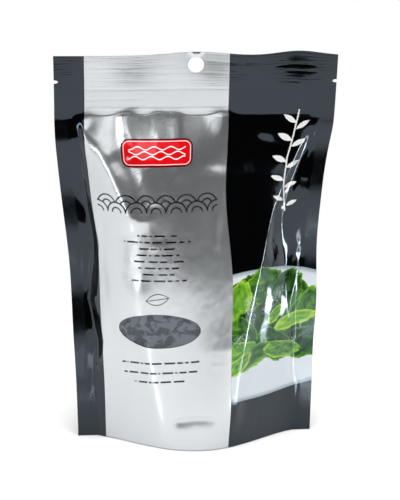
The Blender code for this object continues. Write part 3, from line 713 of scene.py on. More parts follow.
def badge_masks(u, v):
    """A red cartouche with a pale line and three waves: (badge, its dark rim, its pale drawing)."""
    inside = box_distance(u, v, BADGE_AT, BADGE_HALF, BADGE_ROUND)
    field_half = (BADGE_HALF[0] - BADGE_FIELD_IN[0], BADGE_HALF[1] - BADGE_FIELD_IN[1])
    field = box_distance(u, v, BADGE_AT, field_half).inked()
    drawn = (inside - BADGE_LINE_IN).line(BADGE_LINE_HALF)
    for height in BADGE_WAVES:
        rise = (u - BADGE_AT[0]).wave(BADGE_WAVE_LENGTH, height) * BADGE_WAVE_RISE
        crest = v - (BADGE_AT[1] + height) - rise
        drawn = drawn.most(crest.line(BADGE_WAVE_HALF) * field)
    return inside.inked(), inside.line(BADGE_RIM_HALF), drawn


def scallop_mask(u, v):
    """Two rows of overlapping scallops, drawn in thin lines."""
    inside = box_distance(u, v, SCALLOP_AT, SCALLOP_HALF).inked()
    base_line = SCALLOP_AT[1] - SCALLOP_HALF[1]
    drawn, covered = None, None
    for row in (0, 1):
        across = (u - SCALLOP_AT[0]) / SCALLOP_WIDTH + 0.5 * row
        from_middle = (across - across.math("ROUND", across)) * SCALLOP_WIDTH
        radius = (from_middle**2 + (v - base_line - SCALLOP_RISE * row) ** 2) ** 0.5
        radii = (SCALLOP_WIDTH / 2, SCALLOP_WIDTH / 4)
        rings = any_of((radius - each).line(SCALLOP_LINE_HALF) for each in radii)
        rings = rings * (v - base_line - SCALLOP_RISE * row).inked()
        drawn = rings if drawn is None else drawn.most(rings * (1 - covered))
        covered = (SCALLOP_WIDTH / 2 - radius).inked()
    return drawn * inside


def broken(u, shift):
    """Gaps along a rule, which leave dashes of unlike lengths."""
    first = (u.wave(7.9, shift) + 0.86).inked(0.3)
    second = (u.wave(12.7, 1.7 * shift) + 0.93).inked(0.3)
    return first * second


def rule(u, v, middle, half, shift):
    """A broken rule: its middle and its half sizes in millimetres."""
    return box_distance(u, v, middle, half).inked() * broken(u, shift)


def rule_mask(u, v):
    """Short centred rules under the scallops, then three slanted ones under the window."""
    rules = []
    for index, half in enumerate(RULE_HALF_LENGTHS):
        middle = (RULES_MIDDLE, RULES_TOP - index * RULES_STEP)
        rules.append(rule(u, v, middle, (half, RULE_HALF_HEIGHT), index))
    for index, (start, end) in enumerate(SLOGANS):
        length = end[0] - start[0]
        level = v - (u - start[0]) * ((end[1] - start[1]) / length)
        middle = ((start[0] + end[0]) / 2, start[1])
        rules.append(rule(u, level, middle, (length / 2, SLOGAN_HALF_HEIGHT), index + 9))
    return any_of(rules)


def leaf_distance(u, v, leaf):
    """How far a place lies inside an almond-shaped leaf, in millimetres."""
    leaf_u, leaf_v, half_length, half_width, degrees = leaf
    turn = math.radians(degrees)
    along = (u - leaf_u) * math.cos(turn) + (v - leaf_v) * math.sin(turn)
    across = (v - leaf_v) * math.cos(turn) - (u - leaf_u) * math.sin(turn)
    return (1 - (along / half_length) ** 2) * half_width - abs(across)


def segment_distance(u, v, start, end):
    """Distance from a straight stroke, in millimetres."""
    length = math.dist(start, end)
    step = ((end[0] - start[0]) / length, (end[1] - start[1]) / length)
    along = ((u - start[0]) * step[0] + (v - start[1]) * step[1]).most(0).least(length)
    off_u, off_v = u - start[0] - along * step[0], v - start[1] - along * step[1]
    return (off_u**2 + off_v**2) ** 0.5


def leaf_mark_mask(u, v):
    """A small outlined leaf with its midrib."""
    inside = leaf_distance(u, v, (*LEAF_MARK_AT, *LEAF_MARK_HALF, LEAF_MARK_TURN))
    rib = segment_distance(u, v, *LEAF_MARK_RIB).line(LEAF_MARK_RIB_HALF)
    return inside.line(LEAF_MARK_LINE_HALF).most(rib)


def sprig_mask(u, v):
    """A brushed sprig: a thin stem with almond leaves, dry at their edges."""
    dry = point(u, v).noise(1.1, 3.0) * 0.9 - 0.45
    marks = [leaf_distance(u, v, leaf) for leaf in SPRIG_LEAVES]
    for start, end in zip(SPRIG_STEM[:-1], SPRIG_STEM[1:]):
        marks.append(STEM_HALF - segment_distance(u, v, start, end))
    return (any_of(marks) + dry).inked(BRUSH_EDGE)


def oval_place(place, middle_u, middle_v, half_length, half_width, turn):
    """The place seen from an oval's middle, in shares of its half sizes: (that place, its distance)."""
    inputs = {
        "Vector": place, "Location": (middle_u, middle_v, 0), "Rotation": (0, 0, math.radians(turn)),
        "Scale": (half_length, half_width, 1),
    }
    local = place.node("Mapping", {"vector_type": "TEXTURE"}, inputs)
    return local, local.node("VectorMath", {"operation": "LENGTH"}, {0: local}, "Value")


def printed_leaf(place, picture, values, tones):
    """Lays one ruffled leaf over the picture: bright at its rim and on its folds, dark between."""
    *oval, bright = values
    local, away = oval_place(place, *oval)
    ruffle = local.noise(2.2, 3.0, 0.6, 0.4)
    inside = (1.12 - away - ruffle * 0.5) * oval[3]
    folds = local.noise(1.3, 4.0, 0.6, 1.4)
    rim = 0.34 * (1 - inside.step(0.0, 1.5))
    tone = folds * 1.9 + rim + (0.62 * bright - 0.82)
    colour = tone.ramp((0.0, tones[0]), (0.3, tones[1]), (0.65, tones[2]), (1.0, tones[3]))
    return inside.inked(0.35).blend(picture, colour)


def kelp_picture(u, v, black, print_inks):
    """Ruffled kelp leaves in a shallow pale dish, on black."""
    place = point(u, v)
    away = oval_place(place, *DISH_AT, *DISH_HALF, 0)[1]
    inside = (1 - away) * DISH_HALF[1]
    dish = inside.step(0.0, DISH_SHADOW).blend(print_inks.dish_shadow, print_inks.dish)
    picture = inside.inked(0.3).blend(black, dish)
    tones = (print_inks.kelp_dark, print_inks.kelp_mid, print_inks.kelp_bright, print_inks.kelp_edge)
    for values in LEAVES:
        picture = printed_leaf(place, picture, values, tones)
    net = place.noise(0.42, 4.0, 0.7, 1.2)
    lines = (0.022 - abs(net - 0.5)).step(0.0, 0.01)
    for values in GLINTS:
        patch = oval_place(place, *values)[1]
        picture = (lines * (1 - patch.step(0.5, 1.0))).blend(picture, print_inks.kelp_shine)
    return picture


def wrinkles(u, v, grainy):
    """Fine waves of the film: long shallow ones, small dents, and grain as far as it is grainy."""
    long_waves = streaks(u, v, 0.055, 0.02, 2.0, 0.5, 0.6)
    dents = streaks(u, v, 0.16, 0.10, 1.0, 0.45, 0.4)
    grain = point(u, v).noise(1.9, 2.0, 0.7)
    on_body = (196 - v).step(0.0, 5.0) * 0.7 + 0.3
    return (long_waves * 0.9 + dents * 0.35) * on_body + grain * grainy * 0.10


def seal_mask(u, v):
    """1 on the side seals below the band."""
    return (abs(u) - 71.5).step(0.0, 2.0) * (192 - v).step(0.0, 3.0)


def band_lines(u, v):
    """Thin pressed lines across the sealed band, which fade in and out along it."""
    drift = streaks(u, v, 0.03, 0.2) * 2.4
    grooves = ((v + drift).wave(1.55) * 0.5 + 0.5) ** 6
    patches = (streaks(u, v, 0.045, 0.5) - 0.45).step(0.0, 0.12)
    return grooves * patches * (v - 210).step(0.0, 2.0)


def laminate(name, film):
    """A glossy film's material: (material, base, shader, u, v, its cloudy silver)."""
    material, base, shader = new_material(
        name, ior=FILM_IOR, coat_roughness=film.coat_roughness, specular_ior_level=INK_GLOSS,
        specular_tint=film.gloss_tint,
    )
    u, v = film_place(base)
    silver = streaks(u, v, 0.05, 0.03, 3.0).blend(film.silver, film.silver_bright)
    return material, base, shader, u, v, silver


def finish_laminate(film, base, shader, colour, metal, shift, line_depth):
    """Gives a printed film its colour, its metal and gloss, its wrinkles and its pressed lines."""
    u, v = film_place(base)
    seal = seal_mask(u, v)
    rough = metal * film.silver_roughness + (1 - metal) * film.ink_roughness
    height = wrinkles(u + shift, v, seal) - band_lines(u, v) * line_depth
    feed(
        shader, base_color=colour, metallic=metal * film.silver_metallic,
        roughness=rough + seal * film.seal_roughness, coat_weight=metal * film.coat,
        normal=bumped(base, height, film.wrinkle_height),
    )


def front_laminate(film, print_inks):
    material, base, shader, u, v, on_silver = laminate("front_laminate", film)
    silver = (u - SILVER_FROM).inked() * (SILVER_TO - u).inked()
    badge, rim, pale = badge_masks(u, v)
    dark_marks = any_of((scallop_mask(u, v), rule_mask(u, v), leaf_mark_mask(u, v), rim))
    black = base.node("RGB")
    black.socket.default_value = film.ink_black
    sprig = sprig_mask(u, v) * (1 - silver)
    on_black = sprig.blend(kelp_picture(u, v, black, print_inks), print_inks.brush_white)
    on_black = (u - SILVER_TO).step(0.0, 0.2).blend(film.ink_black, on_black)
    colour = badge.blend(silver.blend(on_black, on_silver), print_inks.badge_red)
    colour = pale.blend(colour, print_inks.brush_white)
    colour = dark_marks.blend(colour, film.ink_black)
    metal = silver * (1 - badge.most(dark_marks))
    finish_laminate(film, base, shader, colour, metal, 0, FRONT_LINE_DEPTH)
    return material


def back_laminate(film):
    """The back's print is not in the photo: a silver column on black, with plain rules."""
    material, base, shader, u, v, on_silver = laminate("back_laminate", film)
    silver = (BACK_SILVER_HALF - abs(u)).inked()
    rules = []
    for index in range(BACK_RULES):
        across = BACK_RULES_MIDDLE + BACK_RULES_SHIFT * math.sin(index * 2.3)
        half = BACK_RULE_HALF + BACK_RULE_CHANGE * math.sin(index * 1.7)
        middle = (across, BACK_RULES_TOP - index * BACK_RULES_STEP)
        rules.append(rule(u, v, middle, (half, SLOGAN_HALF_HEIGHT), index))
    rules = any_of(rules)
    colour = rules.blend(silver.blend(film.ink_black, on_silver), film.ink_black)
    finish_laminate(film, base, shader, colour, silver * (1 - rules), BACK_SHIFT, BACK_LINE_DEPTH)
    return material


def gusset_laminate(film):
    material, base, shader = new_material("gusset_laminate", ior=FILM_IOR, base_color=film.ink_black)
    u, v = film_place(base)
    rough = point(u, v).noise(0.4, 3.0) * 0.1 + film.ink_roughness
    feed(shader, roughness=rough, normal=bumped(base, wrinkles(u, v, rough), film.wrinkle_height))
    return material


def clear_film(film):
    material, base, shader = new_material(
        "clear_film", ior=FILM_IOR, base_color=film.window_tint, roughness=film.window_roughness
    )
    u, v = film_place(base)
    cling = streaks(u, v, 0.12, 0.2, 4.0, 0.6, 0.8)
    haze = (cling - 0.43).step(0.0, 0.10) * film.window_haze_change + film.window_haze
    normal = bumped(base, wrinkles(u, v, cling), film.wrinkle_height)
    feed(shader, alpha=haze.least(1).most(0), normal=normal)
    return material


def zip_plastic():
    material, base, shader = new_material("zip_plastic", ior=FILM_IOR, subsurface_weight=0.2)
    place = object_place(base)
    streak = place.noise(260.0, 2.0)
    colour = streak.blend((0.72, 0.75, 0.78, 1), (0.86, 0.88, 0.90, 1))
    feed(shader, base_color=colour, roughness=streak * 0.15 + 0.3)
    return material


def dried_seaweed(wakame):
    material, base, shader = new_material("dried_seaweed", ior=1.45)
    place = object_place(base)
    patches = place.noise(wakame.patch_scale, 4.0, 0.6)
    grain = place.noise(wakame.patch_scale * 9, 4.0, 0.65)
    colour = patches.ramp((0.3, wakame.dark), (0.6, wakame.green), (0.8, wakame.pale))
    feed(shader, base_color=colour, roughness=grain * 0.35 + 0.35, normal=bumped(base, grain, 0.0004))
    return material


def heap_point(direction):
    """Where a unit direction from the heap's middle meets its outside."""
    v = HEAP_BOTTOM + (HEAP_TOP - HEAP_BOTTOM) * (direction.z + 1) / 2
    fullness = (1 - abs(direction.z) ** HEAP_SQUARE) ** 0.5
    round_plan = math.hypot(direction.x, direction.y) or 1.0
    depth = HEAP_HALF_DEPTH * float(swell(v)) / DEPTH
    return Vector((
        HEAP_HALF_WIDTH * fullness * direction.x / round_plan,
        float(spine(v)) + depth * fullness * direction.y / round_plan,
        v,
    ))


def heap_normal(direction):
    """Which way the heap's outside faces there."""
    side = direction.orthogonal().normalized() * 0.02
    other = direction.cross(side)
    at = heap_point(direction)
    normal = (heap_point((direction + side).normalized()) - at).cross(
        heap_point((direction + other).normalized()) - at).normalized()
    middle = Vector((0, float(spine(at.z)), (HEAP_BOTTOM + HEAP_TOP) / 2))
    return normal if normal.dot(at - middle) > 0 else -normal


def add_flake(mesh, draw, direction, wakame):
    """A dried scrap: a strip that curls and crinkles, held to the heap at its middle."""
    length = wakame.flake_length * draw.uniform(*FLAKE_LENGTHS)
    width = wakame.flake_length * draw.uniform(*FLAKE_WIDTHS)
    curl, twist, phase = (draw.uniform(*each) for each in (FLAKE_CURLS, FLAKE_TWISTS, FLAKE_PHASES))
    lift = draw.uniform(*FLAKE_LIFTS)
    facing = heap_normal(direction).to_track_quat("Z", "X").to_matrix().to_4x4()
    spin = Matrix.Rotation(draw.uniform(0, 2 * math.pi), 4, "Z")
    tip = Matrix.Rotation(draw.uniform(*FLAKE_TIPS), 4, "X")
    place = Matrix.Translation(heap_point(direction) + heap_normal(direction) * lift)
    at = place @ facing @ spin @ tip
    made = bmesh.ops.create_grid(mesh, x_segments=9, y_segments=3, size=0.5)["verts"]
    for vertex in made:
        along, across = vertex.co.x * 2, vertex.co.y * 2
        bend = curl * along
        half = width / 2 * math.sqrt(max(0.08, 1 - along**2))
        half *= 1 + 0.25 * math.sin(6 * along + phase)
        ruffle = 0.0007 * across * math.sin(9 * along + phase)
        x = length / 2 * math.sin(bend) / curl
        z = length / 2 * (1 - math.cos(bend)) / curl
        turn = twist * along
        y, rise = half * across * math.cos(turn), half * across * math.sin(turn)
        vertex.co = at @ Vector((x, y, z + rise + ruffle))


def sphere_directions(count):
    """Directions spread evenly over a sphere, by the golden angle."""
    golden = math.pi * (3 - math.sqrt(5))
    for index in range(count):
        height = 1 - 2 * (index + 0.5) / count
        ring = math.sqrt(1 - height * height)
        yield Vector((ring * math.cos(golden * index), ring * math.sin(golden * index), height))


def panel_columns(inner_step, edge_step):
    """Column places: fine at the side seals and round the hang hole."""
    middle = np.arange(-SEALS_FROM, SEALS_FROM + inner_step / 2, inner_step)
    hole = np.arange(-HOLE_FINE, HOLE_FINE + HOLE_FINE_STEP / 5, HOLE_FINE_STEP)
    middle = np.concatenate([middle[np.abs(middle) > HOLE_FINE_ROOM], hole])
    count = round((HALF_WIDTH - SEALS_FROM) / edge_step)
    edge = np.linspace(SEALS_FROM + edge_step, HALF_WIDTH, count)
    return np.unique(np.round(np.concatenate([-edge, middle, edge]), 6))


def panel_rows(body_step, band_step):
    """Row places: fine in the band, and finest at the tear notches."""
    body = np.arange(-0.0015, BODY_TOP - 0.003, body_step)
    band = np.arange(BODY_TOP - 0.003, HEIGHT, band_step)
    notch = NOTCH_V + NOTCH_HALF_HEIGHT * np.array([-1.15, -1.0, -0.85, -0.5, 0, 0.5, 0.85, 1.0, 1.15])
    band = band[np.abs(band - NOTCH_V) > NOTCH_HALF_HEIGHT * 1.3]
    return np.unique(np.round(np.concatenate([body, band, notch, [HEIGHT]]), 6))


def on_the_ground(mesh):
    """Cuts a film's foot level with the surface that the pouch stands on."""
    geometry = mesh.verts[:] + mesh.edges[:] + mesh.faces[:]
    bmesh.ops.bisect_plane(
        mesh, geom=geometry, plane_co=(0, 0, 0), plane_no=(0, -1, 0), clear_outer=True
    )


def gusset_point(u, b):
    """b runs from the front foot up the flange, across the floor and down to the back foot."""
    seal = GUSSET_SEAL_LOW + GUSSET_SEAL_RISE * (u / GUSSET_END) ** 2
    climb = np.clip(np.minimum(b, 1 - b) / GUSSET_FLANGE_SHARE, 0, 1)
    v = GUSSET_FOOT + (seal - GUSSET_FOOT) * climb
    inset = 2 * FILM + GUSSET_GAP
    front, back = panel(u, v, FRONT, inset, 0), panel(u, v, BACK, inset, 0)
    across = np.clip((b - GUSSET_FLANGE_SHARE) / (1 - 2 * GUSSET_FLANGE_SHARE), 0, 1)
    points = front + (back - front) * across[:, None]
    half_depth = (back - front)[:, 1] / 2
    floor = seal - GUSSET_SAG * half_depth * (1 - (2 * across - 1) ** 2)
    points[:, 2] = np.where(climb >= 1, np.clip(floor, 0, None), points[:, 2])
    return points


def colour_property(name, description, default):
    return bpy.props.FloatVectorProperty(
        name=name, description=description, default=(*default, 1.0), size=4, subtype="COLOR", min=0, max=1
    )


def place_property(name, description, default):
    return bpy.props.FloatVectorProperty(
        name=name, description=description, default=default, size=3, subtype="TRANSLATION", unit="LENGTH"
    )


def number_property(name, description, default, low, high, **kind):
    """A number within its range; the kind is its subtype, its unit and how finely it is shown."""
    return bpy.props.FloatProperty(
        name=name, description=description, default=default, min=low, max=high, **kind
    )


def share_property(name, description, default, high=1):
    return number_property(name, description, default, 0, high, subtype="FACTOR")


def length_property(name, description, default, low, high):
    kind = {"subtype": "DISTANCE", "unit": "LENGTH", "precision": 5}
    return number_property(name, description, default, low, high, **kind)


def power_property(name, description, default):
    return number_property(name, description, default, 0, 1000, subtype="POWER")


class FilmSettings(bpy.types.PropertyGroup):
    silver: colour_property("Silver", "Metallised film where it is dull", (0.535, 0.555, 0.570))
    silver_bright: colour_property("Bright silver", "Metallised film, bright", (0.575, 0.595, 0.610))
    ink_black: colour_property("Black ink", "Glossy black print", (0.0006, 0.0006, 0.0008))
    gloss_tint: colour_property("Gloss tint", "The cool tinge of the ink's gloss", (0.72, 0.86, 1.0))
    window_tint: colour_property("Window tint", "Clear film over the filling", (0.12, 0.14, 0.165))
    silver_metallic: share_property("Metallic", "How metallic the silver film is", 0.86)
    silver_roughness: share_property("Silver roughness", "Blur of the silver's reflections", 0.27)
    ink_roughness: share_property("Ink roughness", "Blur of the print's reflections", 0.09)
    seal_roughness: share_property("Seal roughness", "Blur that the pressed seals add", 0.12)
    coat: share_property("Coat", "Gloss over the silver", 0.35)
    coat_roughness: share_property("Coat roughness", "Blur of the gloss", 0.1)
    window_roughness: share_property("Window roughness", "Blur of the window's reflections", 0.12)
    window_haze: share_property("Window haze", "How much of the filling the window hides", 0.38)
    window_haze_change: share_property("Window haze change", "How much the haze varies", 0.58, 2)
    wrinkle_height: length_property("Wrinkle height", "Height of the finest wrinkles", 0.0005, 0, 0.01)
    crease_scale: share_property("Crease scale", "Scales the creases' heights", 1.0, 2)
    body_step: length_property("Mesh step", "Size of the front's faces", 0.00115, 0.0005, 0.01)
    back_step: length_property("Back mesh step", "Size of the back's faces", 0.0017, 0.0005, 0.01)


class PrintSettings(bpy.types.PropertyGroup):
    badge_red: colour_property("Badge red", "The cartouche", (0.62, 0.004, 0.008))
    brush_white: colour_property("Brush white", "Waves and sprig", (0.84, 0.84, 0.82))
    dish: colour_property("Dish", "The dish under the kelp", (0.66, 0.71, 0.75))
    dish_shadow: colour_property("Dish shadow", "The dish's edge", (0.30, 0.36, 0.41))
    kelp_dark: colour_property("Kelp dark", "Kelp in its folds", (0.006, 0.022, 0.006))
    kelp_mid: colour_property("Kelp green", "Kelp in the open", (0.03, 0.11, 0.015))
    kelp_bright: colour_property("Kelp bright", "Kelp lit from behind", (0.14, 0.36, 0.02))
    kelp_edge: colour_property("Kelp edge", "Thin edges", (0.40, 0.62, 0.06))
    kelp_shine: colour_property("Kelp shine", "Wet glints", (0.62, 0.74, 0.74))


class WakameSettings(bpy.types.PropertyGroup):
    dark: colour_property("Dark", "Most of the dried scraps", (0.004, 0.006, 0.006))
    green: colour_property("Green", "Thinner scraps", (0.012, 0.022, 0.014))
    pale: colour_property("Pale", "Dusty edges", (0.05, 0.06, 0.05))
    flake_count: bpy.props.IntProperty(
        name="Scraps", description="Number of dried scraps", default=340, min=1, max=2000
    )
    flake_length: length_property("Scrap length", "Length of a middling scrap", 0.015, 0.002, 0.05)
    flake_thickness: length_property("Scrap thickness", "Thickness of a scrap", 0.0004, 0.0001, 0.003)
    patch_scale: number_property("Patches", "Colour patches per metre", 140.0, 1, 1000)
    seed: bpy.props.IntProperty(name="Seed", description="Order of the scraps", default=40)


class StageSettings(bpy.types.PropertyGroup):
    floor: colour_property("Floor", "The pale floor", (0.88, 0.88, 0.88))
    floor_radius: length_property("Floor radius", "The round floor's radius", 0.62, 0.3, 5)
    floor_middle: place_property("Floor middle", "Where the floor's middle lies", (-0.03, -0.24, 0.0))
    key_power: power_property("Key power", "Soft overhead light", 57.0)
    back_power: power_property("Back power", "Weak card behind the pouch", 1.4)
    right_line_radiance: number_property(
        "Right line", "Brightness of the strip that draws the right white line", 30.0, 0, 1000
    )
    near_line_radiance: number_property(
        "Right line, near", "Brightness of that strip's end at the pouch", 7.0, 0, 1000
    )
    left_line_radiance: number_property(
        "Middle line", "Brightness of the strip that draws the pale middle streak", 2.3, 0, 1000
    )
    left_strip_power: power_property("Left strip power", "Left tall strip light", 4.2)
    card_power: power_property("Card power", "Right side card; the left one has a little more", 3.4)
    top_power: power_property("Top power", "Card seen in the film's left pillow", 0.52)
    high_power: power_property("High power", "Wide weak card seen in the folds under the band", 0.72)
    dim_world: share_property("Dim room", "What the gloss sees between the lights", 0.015)
    camera_at: place_property("Camera", "Where the camera stands", (-0.0537, -0.6963, 0.2571))
    camera_turn: bpy.props.FloatVectorProperty(
        name="Camera turn", description="How the camera is turned", size=3, subtype="EULER",
        default=(math.radians(78.38), 0.0, math.radians(-4.67))
    )
    lens: number_property(
        "Lens", "Focal length on a 36 mm sensor", 86.6, 10, 300, subtype="DISTANCE_CAMERA"
    )


class POUCH_OT_front_film(bpy.types.Operator):
    """Builds the front film with its print, creases, hang hole, notches and window opening."""

    bl_idname = "pouch.front_film"
    bl_label = "Front film"

    def execute(self, context):
        film = context.scene.pouch_film
        columns = panel_columns(FRONT_ACROSS, FRONT_ACROSS_SEALS)
        grid = flat_grid(columns, panel_rows(film.body_step, FRONT_UP_BAND))
        open_oval(grid, WINDOW_OVAL)
        material = front_laminate(film, context.scene.pouch_print)
        sheet = panel_sheet("front_film_creased", grid, FRONT, film, material)
        dress(sheet, "front_laminate", "front_film")
        return {"FINISHED"}


class POUCH_OT_back_film(bpy.types.Operator):
    """Builds the back film with its own creases, hang hole and notches."""

    bl_idname = "pouch.back_film"
    bl_label = "Back film"

    def execute(self, context):
        film = context.scene.pouch_film
        columns = panel_columns(film.back_step, BACK_ACROSS_SEALS)
        grid = flat_grid(columns, panel_rows(film.back_step, BACK_UP_BAND))
        sheet = panel_sheet("back_film_creased", grid, BACK, film, back_laminate(film))
        dress(sheet, "back_laminate", "back_film")
        return {"FINISHED"}


class POUCH_OT_gusset_film(bpy.types.Operator):
    """Builds the folded-out gusset that closes the base."""

    bl_idname = "pouch.gusset_film"
    bl_label = "Gusset film"

    def execute(self, context):
        film = context.scene.pouch_film
        share = GUSSET_FLANGE_SHARE
        floor = np.linspace(share, 1 - share, GUSSET_FLOOR_ROWS)
        rows = np.concatenate([[0, share / 2], floor, [1 - share / 2, 1]])
        grid = flat_grid(np.linspace(-GUSSET_REACH, GUSSET_REACH, GUSSET_COLUMNS), rows)
        sheet = film_sheet("gusset_film_folded", grid, gusset_point, gusset_laminate(film), offset=1)
        dress(sheet, "gusset_laminate", "gusset_film")
        return {"FINISHED"}


class POUCH_OT_window_film(bpy.types.Operator):
    """Builds the clear oval film behind the window opening."""

    bl_idname = "pouch.window_film"
    bl_label = "Window film"

    def execute(self, context):
        film = context.scene.pouch_film
        middle_u, middle_v, half_width, half_height = WINDOW_OVAL
        grid = flat_grid(*(np.linspace(-1, 1, count) for count in WINDOW_GRID))
        for vertex in grid.verts:
            a, b = vertex.co.x, vertex.co.y
            vertex.co.x = middle_u + a * math.sqrt(1 - b * b / 2) * (half_width + WINDOW_LAP)
            vertex.co.y = middle_v + b * math.sqrt(1 - a * a / 2) * (half_height + WINDOW_LAP)
        sheet = film_sheet("window_film_clear", grid,
                           lambda u, v: film_point(u, v, FRONT, FILM + WINDOW_GAP, film.crease_scale),
                           clear_film(film), thickness=WINDOW_THICKNESS)
        dress(sheet, "clear_film", "window_film")
        return {"FINISHED"}


class POUCH_OT_zip_strips(bpy.types.Operator):
    """Gives the two zip strips their milky plastic."""

    bl_idname = "pouch.zip_strips"
    bl_label = "Zip strips"

    def execute(self, context):
        plastic = zip_plastic()
        for name in ("zip_rib_strip", "zip_groove_strip"):
            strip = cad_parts[name]
            strip.data.materials.clear()
            strip.data.materials.append(plastic)
        return {"FINISHED"}


class POUCH_OT_wakame_heap(bpy.types.Operator):
    """Fills the pouch with curled scraps of dried wakame round a smaller dark core."""

    bl_idname = "pouch.wakame_heap"
    bl_label = "Dried wakame"

    def execute(self, context):
        wakame = context.scene.pouch_wakame
        draw = random.Random(wakame.seed)
        material = dried_seaweed(wakame)
        scraps = bmesh.new()
        for direction in sphere_directions(wakame.flake_count):
            add_flake(scraps, draw, direction, wakame)
        heap = link("wakame_scraps", finished_mesh("wakame_scraps", scraps), material)
        thicken(heap, wakame.flake_thickness, 0, False)
        dress(heap, "dried_seaweed", "wakame_heap")

        core = bmesh.new()
        bmesh.ops.create_icosphere(core, subdivisions=5, radius=1)
        middle = Vector((0, float(spine(CORE_STANDS_AT)), (HEAP_BOTTOM + HEAP_TOP) / 2))
        for vertex in core.verts:
            direction = vertex.co.normalized()
            crumple = sum(noise.noise(direction * scale) * share for scale, share in CORE_CRUMPLES)
            vertex.co = middle + (heap_point(direction) - middle) * (CORE_SHARE + crumple)
        mesh = finished_mesh("wakame_core", core)
        mesh.shade_smooth()
        dress(link("wakame_core", mesh, material), "dried_seaweed")
        return {"FINISHED"}


KEY_AT, KEY_AIM, KEY_SIZE = (0, -0.5, 1.6), (0, -0.35, 0), (1.5, 1.5)
# Strips on the floor: (name, the place they point away from, degrees to the right of the front,
# nearest and farthest end, width, setting for the brightness)
FLOOR_STRIPS = (
    ("right_line", (0, -0.027), 69.8, (0.38, 0.95), 0.06, "right_line_radiance"),
    ("right_line_near", (0, -0.027), 69.8, (0.08, 0.38), 0.035, "near_line_radiance"),
    ("left_line", (0.03, 0), -54.8, (0.10, 0.26), 0.012, "left_line_radiance"),
)
# Cards: (name, degrees to the right of the front, distance, height, height of the aim on the
# middle line, size, setting for the power, share of it)
CARDS = (
    ("left_strip", -48, 1.1, 0.75, 0.75, (0.12, 1.5), "left_strip_power", 1),
    ("left_card", -88, 0.9, 0.4, 0.4, (0.9, 1.2), "card_power", 1.3),
    ("right_card", 100, 0.9, 0.4, 0.4, (0.6, 1.2), "card_power", 1),
    ("pillow_card", -15, 0.64, 0.70, 0.19, (0.40, 0.26), "top_power", 1),
    ("back_card", 180, 1.1, 0.7, 0.15, (1.4, 0.9), "back_power", 1),
    ("high_card", 0, 0.75, 1.05, 0.19, (1.4, 0.55), "high_power", 1),
)
FLOOR_SIDES, FLOOR_LIGHT_HEIGHT, FLOOR_DROP = 128, 0.003, 0.0004


def add_light(name, at, aim, size, power, diffuse=False):
    """A soft light that the camera can't see. It lights the scene, or else only gloss mirrors it."""
    data = bpy.data.lights.new(name, "AREA")
    data.shape = "RECTANGLE"
    data.size, data.size_y = size
    data.energy = power
    lamp = bpy.data.objects.new(name, data)
    lamp.location = at
    lamp.rotation_euler = (Vector(aim) - Vector(at)).to_track_quat("-Z", "Y").to_euler()
    lamp.visible_camera = False
    lamp.visible_glossy = not diffuse
    lamp.visible_diffuse = diffuse
    bpy.context.scene.collection.objects.link(lamp)
    return lamp


def add_floor_light(name, start, degrees, reach, width, radiance):
    """A strip light just over the floor, pointing away from the pouch, that only gloss mirrors."""
    turn = math.radians(degrees)
    along = sum(reach) / 2
    length = reach[1] - reach[0]
    x, y = start[0] + along * math.sin(turn), start[1] - along * math.cos(turn)
    power = radiance * math.pi * width * length
    lamp = add_light(name, (x, y, FLOOR_LIGHT_HEIGHT), (x, y, 1), (width, length), power)
    lamp.rotation_euler = (math.pi, 0, turn)


def round_the_pouch(degrees, distance, height):
    """A place at an angle from the front, to the right when positive."""
    turn = math.radians(degrees)
    return (distance * math.sin(turn), -distance * math.cos(turn), height)


def make_floor(stage):
    disc = bmesh.new()
    bmesh.ops.create_circle(disc, cap_ends=True, segments=FLOOR_SIDES, radius=stage.floor_radius)
    material, base, shader = new_material(
        "floor_white", base_color=stage.floor, specular_ior_level=0.3
    )
    feed(shader, roughness=object_place(base).noise(14.0) * 0.06 + 0.5)
    floor = link("floor", finished_mesh("floor", disc), material)
    floor.location = stage.floor_middle
    floor.location.z = -FLOOR_DROP


def make_world(stage):
    """White behind the pouch for the camera, and a dim room for reflections and light."""
    world = bpy.data.worlds.new("studio")
    world.use_nodes = True
    seen = Socket(world.node_tree).node("LightPath", {}, {}, "Is Camera Ray")
    dim = (stage.dim_world,) * 3 + (1,)
    feed(world.node_tree.nodes["Background"], color=seen.blend(dim, (1, 1, 1, 1)))
    bpy.context.scene.world = world


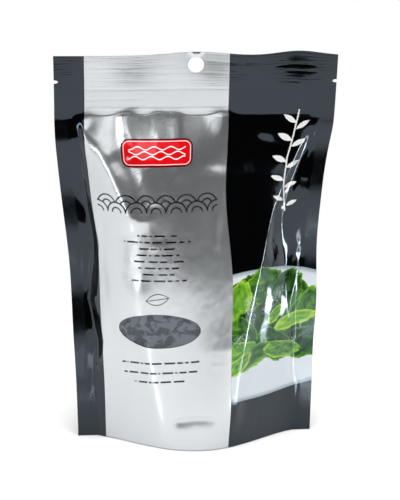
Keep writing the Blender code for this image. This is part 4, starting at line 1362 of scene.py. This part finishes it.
class POUCH_OT_stage(bpy.types.Operator):
    """Builds the pale floor, the soft studio lights, the white surround and the camera."""

    bl_idname = "pouch.stage"
    bl_label = "Stage"

    def execute(self, context):
        stage = context.scene.pouch_stage
        make_floor(stage)
        make_world(stage)
        add_light("key", KEY_AT, KEY_AIM, KEY_SIZE, stage.key_power, diffuse=True)
        for name, start, degrees, reach, width, setting in FLOOR_STRIPS:
            add_floor_light(name, start, degrees, reach, width, getattr(stage, setting))
        for name, degrees, distance, height, aim_height, size, setting, share in CARDS:
            at = round_the_pouch(degrees, distance, height)
            add_light(name, at, (0, 0, aim_height), size, getattr(stage, setting) * share)
        camera = bpy.data.objects.new("camera", bpy.data.cameras.new("camera"))
        camera.data.lens = stage.lens
        camera.data.sensor_width = 36
        camera.location = stage.camera_at
        camera.rotation_euler = stage.camera_turn
        context.scene.collection.objects.link(camera)
        context.scene.camera = camera
        context.scene.view_settings.view_transform = "Standard"
        return {"FINISHED"}


class POUCH_PT_panel(bpy.types.Panel):
    """Lists the pouch's builders and settings."""

    bl_idname = "POUCH_PT_panel"
    bl_label = "Wakame pouch"
    bl_space_type = "VIEW_3D"
    bl_region_type = "UI"
    bl_category = "Pouch"

    def draw(self, context):
        for operator in OPERATORS:
            self.layout.operator(operator.bl_idname)
        for name in SETTINGS:
            box = self.layout.box()
            group = getattr(context.scene, name)
            for key in group.bl_rna.properties.keys():
                if key not in ("rna_type", "name"):
                    box.prop(group, key)


SETTINGS = {
    "pouch_film": FilmSettings,
    "pouch_print": PrintSettings,
    "pouch_wakame": WakameSettings,
    "pouch_stage": StageSettings,
}
OPERATORS = (
    POUCH_OT_front_film,
    POUCH_OT_back_film,
    POUCH_OT_gusset_film,
    POUCH_OT_window_film,
    POUCH_OT_zip_strips,
    POUCH_OT_wakame_heap,
    POUCH_OT_stage,
)


def register():
    for cls in (*SETTINGS.values(), *OPERATORS, POUCH_PT_panel):
        bpy.utils.register_class(cls)
    for name, group in SETTINGS.items():
        setattr(bpy.types.Scene, name, bpy.props.PointerProperty(type=group))


def unregister():
    for name in SETTINGS:
        delattr(bpy.types.Scene, name)
    for cls in reversed((*SETTINGS.values(), *OPERATORS, POUCH_PT_panel)):
        bpy.utils.unregister_class(cls)


def main():
    register()
    bpy.ops.pouch.front_film()
    bpy.ops.pouch.back_film()
    bpy.ops.pouch.gusset_film()
    bpy.ops.pouch.window_film()
    bpy.ops.pouch.zip_strips()
    bpy.ops.pouch.wakame_heap()
    bpy.ops.pouch.stage()


if __name__ == "__main__":
    main()
